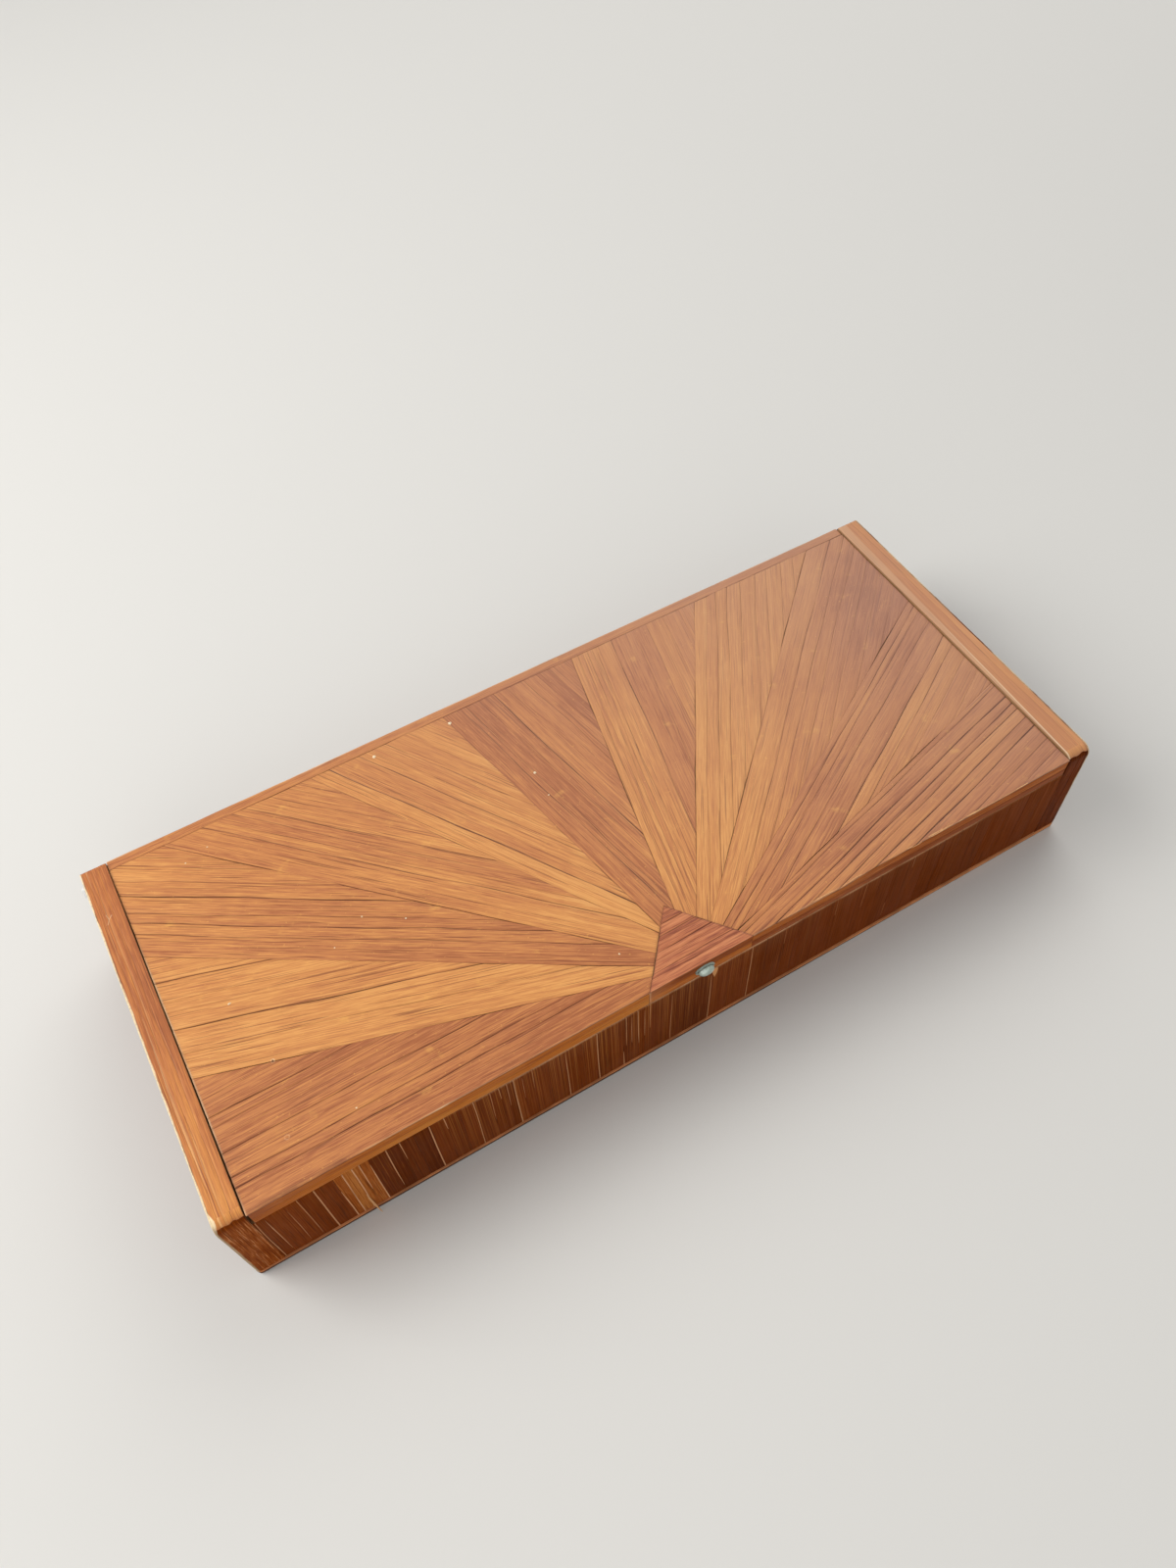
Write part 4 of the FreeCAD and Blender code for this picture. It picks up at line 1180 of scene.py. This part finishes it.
def dress_nodes():
    """Materials for the pieces of the construction that show as they are."""
    dressed = {"front_wall": BOARD_WOOD, "back_wall": BOARD_WOOD, "lid_board": BOARD_WOOD,
               "left_cheek": CHEEK_WOOD, "right_cheek": CHEEK_WOOD,
               "cheek_brads": STEEL, "base_brads": STEEL}
    for node, material in dressed.items():
        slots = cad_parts[node].data.materials
        slots.clear()
        slots.append(material)


def make_base():
    """Thin base board with rubbed edges and slightly round corners."""
    corner = 1.2 * MM
    step_round = 1.5 * MM
    levels = ((0.0, 0.25), (0.14, 0.12), (0.6, 0.04), (0.88, 0.0), (1.0, 0.08))
    outline = []
    for x, y, start in ((1, 1, 0), (-1, 1, 90), (-1, -1, 180), (1, -1, 270)):
        centre = Vector((x * (BASE_HIGH.x - corner), y * (BASE_HIGH.y - corner)))
        for turn in range(0, 91, 15):
            angle = math.radians(start + turn)
            normal = Vector((math.cos(angle), math.sin(angle)))
            outline.append((centre + corner * normal, normal))
    points_round = []
    for (a, normal_a), (b, normal_b) in zip(outline, outline[1:] + outline[:1]):
        count = max(1, round((b - a).length / step_round))
        for number in range(count):
            share = number / count
            points_round.append((a.lerp(b, share), normal_a.lerp(normal_b, share)))
    count = len(points_round)
    rub = drift(random.Random("base"), 19 * MM, 7 * MM, 43 * MM)
    worn = 0.1 * MM * (1 + rub(np.arange(count) * step_round)) / 2
    points = []
    for share, inset in levels:
        for (place, normal), chip in zip(points_round, worn):
            x, y = place - normal * (inset * MM + chip * share)
            points.append((x, y, BASE_LOW.z + share * (BASE_HIGH.z - BASE_LOW.z)))
    faces = [tuple(range(count)), tuple(range(len(points) - count, len(points)))]
    for low in range(0, len(points) - count, count):
        for number in range(count):
            after = (number + 1) % count
            faces.append((low + number, low + after, low + count + after, low + count + number))
    settle(make_object("worn_base_board", points, faces, BASE_WOOD), "case", "carcass_wood", "base_board")


def line_with_paper(node, body, axis, way):
    """Thin uneven paper in place of a plain lining; its open face looks along an axis, up or down it."""
    low, high = (np.array(corner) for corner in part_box(node))
    draw = random.Random(node)
    u_axis, v_axis = [other for other in range(3) if other != axis]
    thickness = high[axis] - low[axis]
    counts = [max(4, round((high[other] - low[other]) / PAPER_STEP)) + 1 for other in (u_axis, v_axis)]
    u = np.linspace(low[u_axis], high[u_axis], counts[0])[:, None] + np.zeros(counts)
    v = np.linspace(low[v_axis], high[v_axis], counts[1])[None, :] + np.zeros(counts)
    ragged = [drift(draw, 23 * MM, 9 * MM) for _ in range(4)]
    u[0] += PAPER_RAGGED * (1 + ragged[0](v[0]))
    u[-1] -= PAPER_RAGGED * (1 + ragged[1](v[-1]))
    v[:, 0] += PAPER_RAGGED * (1 + ragged[2](u[:, 0]))
    v[:, -1] -= PAPER_RAGGED * (1 + ragged[3](u[:, -1]))
    cockle_u, cockle_v = drift(draw, 31 * MM, 13 * MM), drift(draw, 27 * MM, 17 * MM)
    open_face = thickness * (0.75 + 0.12 * cockle_u(u + 0.3 * v) + 0.12 * cockle_v(v - 0.2 * u))
    wall = low[axis] if way > 0 else high[axis]
    sheets = []
    for depth in (open_face, 0 * open_face):
        sheet = np.zeros((*counts, 3))
        sheet[..., u_axis] = u
        sheet[..., v_axis] = v
        sheet[..., axis] = wall + way * depth
        sheets.append(sheet)
    settle(make_object("paper_" + node, *closed_grid(*sheets), PAPER), body, "lining_paper", node)


def make_pin(side, outward):
    """Headed nail that the lid turns on, its head flattened a little by hammering."""
    node = side + "_hinge_pin"
    low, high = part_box(node)
    radius = (high.z - low.z) / 2
    tip, head = (high.x, low.x) if outward < 0 else (low.x, high.x)
    face = END_HIGH.x - abs(head)
    shank = 0.47 * radius
    centre = (head, (low.y + high.y) / 2, (low.z + high.z) / 2)
    long = abs(tip - head)
    profile = ((-long, 0), (-long + PIN_POINT, 0.6 * shank), (-long + 2 * PIN_POINT, shank),
               (face - 0.02 * MM, shank), (face, 0.94 * radius), (0.7 * face, 0.99 * radius),
               (0.4 * face, 0.86 * radius), (0.12 * face, 0.5 * radius), (0, 0))
    shape = turned(profile, centre, (outward, 0, 0), (0, 1, 0), 1.0, 24, 0.02, random.Random(node))
    settle(make_object("hammered_" + node, *shape, STEEL), "case", "pin_steel", node)


def make_knob():
    """Small oval stud with a flange, its surface lumpy with age."""
    half = (KNOB_HIGH.x - KNOB_LOW.x) / 2
    flatness = (KNOB_HIGH.z - KNOB_LOW.z) / 2 / half
    stand = LID_FRONT - KNOB_LOW.y
    root = KNOB_HIGH.y - LID_FRONT
    centre = ((KNOB_LOW.x + KNOB_HIGH.x) / 2, LID_FRONT, (KNOB_LOW.z + KNOB_HIGH.z) / 2)
    head = ((0, 0.97), (0.12, 0.985), (0.19, 0.95), (0.21, 0.8), (0.27, 0.76), (0.34, 0.8), (0.58, 0.76),
            (0.76, 0.62), (0.89, 0.42), (0.96, 0.2), (0.98, 0))
    shank = 0.28 * half
    profile = [(-root, 0), (-root, shank), (0, shank)] + [(out * stand, wide * half) for out, wide in head]
    shape = turned(profile, centre, (0, -1, 0), (1, 0, 0), flatness, 36, 0.012, random.Random("knob"))
    settle(make_object("cast_lift_knob", *shape, KNOB_METAL), "lid", "knob_metal", "lift_knob")


# Stage

FLOOR_REACH = 6.0
CAMERA_PLACE = (-0.06900, -0.13508, 0.26466)
CAMERA_RIGHT = (0.86750, -0.49607, -0.03690)
CAMERA_UP = (0.42712, 0.70479, 0.56643)
CAMERA_BACK = (-0.25498, -0.50713, 0.82329)
CAMERA_LENS = 27.17
CAMERA_SENSOR = 36.0
# Each lamp's name, place, size and power
LAMPS = (
    ("key", (-0.60, 0.28, 0.60), 0.6, 5.3),
    ("wall", (0.6, 0.65, 0.75), 1.0, 4.0),
    ("fill", (-0.35, -0.9, 0.45), 0.9, 2.5),
)
SKY_COLOUR = (0.96, 0.98, 1.0, 1.0)
SKY_STRENGTH = 0.4
BACKDROP_COLOUR = (1.0, 0.985, 0.955, 1.0)
BACKDROP_LEVEL = 0.68
BACKDROP_NEAR, BACKDROP_FAR = 0.5, 1.3
FLOOR_COLOUR = srgb(224, 221, 215)
FLOOR_BOUNCE = srgb(146, 124, 106)
BLACK = (0.0, 0.0, 0.0, 1.0)


def seen_rays(graph):
    """One for the rays that see a surface, in view or mirrored, and nothing for its bounced light."""
    seen = graph.node("LightPath", {}, "Is Camera Ray")
    for name in ("Is Glossy Ray", "Is Transmission Ray"):
        feeds = {0: seen, 1: graph.node("LightPath", {}, name)}
        seen = graph.node("Math", feeds, operation="ADD", use_clamp=True)
    return seen


def make_floor():
    """Plain pale floor that passes into the backdrop far from the box."""
    corners = [(x * FLOOR_REACH, y * FLOOR_REACH, 0) for x, y in ((-1, -1), (1, -1), (1, 1), (-1, 1))]
    mesh = bpy.data.meshes.new("floor")
    mesh.from_pydata(corners, [], [(0, 1, 2, 3)])
    graph = new_graph("floor")
    seen = seen_rays(graph)
    far = away_from(graph, (0.0, 0.0)).between(BACKDROP_NEAR, BACKDROP_FAR) * seen
    colour = graph.mix(far, graph.mix(seen, FLOOR_BOUNCE, FLOOR_COLOUR), BLACK)
    mesh.materials.append(graph.finish(Base_Color=colour, Emission_Color=BACKDROP_COLOUR, Roughness=0.9,
                                       Emission_Strength=far * BACKDROP_LEVEL, Specular_IOR_Level=0.1))
    floor = bpy.data.objects.new("floor", mesh)
    bpy.context.scene.collection.objects.link(floor)


def make_lights():
    """Even sky, with the backdrop in its place for the rays that see it, and three soft lamps."""
    world = bpy.data.worlds.new("studio")
    bpy.context.scene.world = world
    graph = Graph(world)
    sky = graph.tree.nodes["Background"]
    sky.inputs["Color"].default_value = SKY_COLOUR
    sky.inputs["Strength"].default_value = SKY_STRENGTH
    backdrop = graph.node("Background", {"Color": BACKDROP_COLOUR, "Strength": BACKDROP_LEVEL})
    choice = graph.node("MixShader", {0: seen_rays(graph), 1: Value(graph, sky.outputs[0]), 2: backdrop})
    graph.feed(graph.tree.nodes["World Output"].inputs["Surface"], choice)
    for name, place, size, power in LAMPS:
        lamp = bpy.data.lights.new(name, "AREA")
        lamp.size = size
        lamp.energy = power
        light = bpy.data.objects.new(name, lamp)
        light.location = place
        light.rotation_euler = (-Vector(place)).to_track_quat("-Z", "Y").to_euler()
        bpy.context.scene.collection.objects.link(light)


def make_camera():
    """Camera at the photo's view."""
    lens = bpy.data.cameras.new("camera")
    lens.lens = CAMERA_LENS
    lens.sensor_width = CAMERA_SENSOR
    lens.clip_start = 0.01
    camera = bpy.data.objects.new("camera", lens)
    turn = Matrix((CAMERA_RIGHT, CAMERA_UP, CAMERA_BACK)).transposed()
    camera.matrix_world = Matrix.Translation(CAMERA_PLACE) @ turn.to_4x4()
    bpy.context.scene.collection.objects.link(camera)
    bpy.context.scene.camera = camera


dress_nodes()
make_base()
lay_front()
lay_back()
lay_cheek("left", -1)
lay_cheek("right", 1)
line_with_paper("floor_lining", "case", 2, 1)
line_with_paper("front_lining", "case", 1, 1)
line_with_paper("back_lining", "case", 1, -1)
line_with_paper("left_lining", "case", 0, 1)
line_with_paper("right_lining", "case", 0, -1)
make_pin("left", -1)
make_pin("right", 1)
lay_sunburst()
lay_lid_back()
lay_lid_front()
drop_specks()
fray_lid()
hang_sliver()
line_with_paper("lid_lining", "lid", 2, -1)
make_knob()
make_floor()
make_lights()
make_camera()
bpy.context.scene.view_settings.view_transform = "Standard"
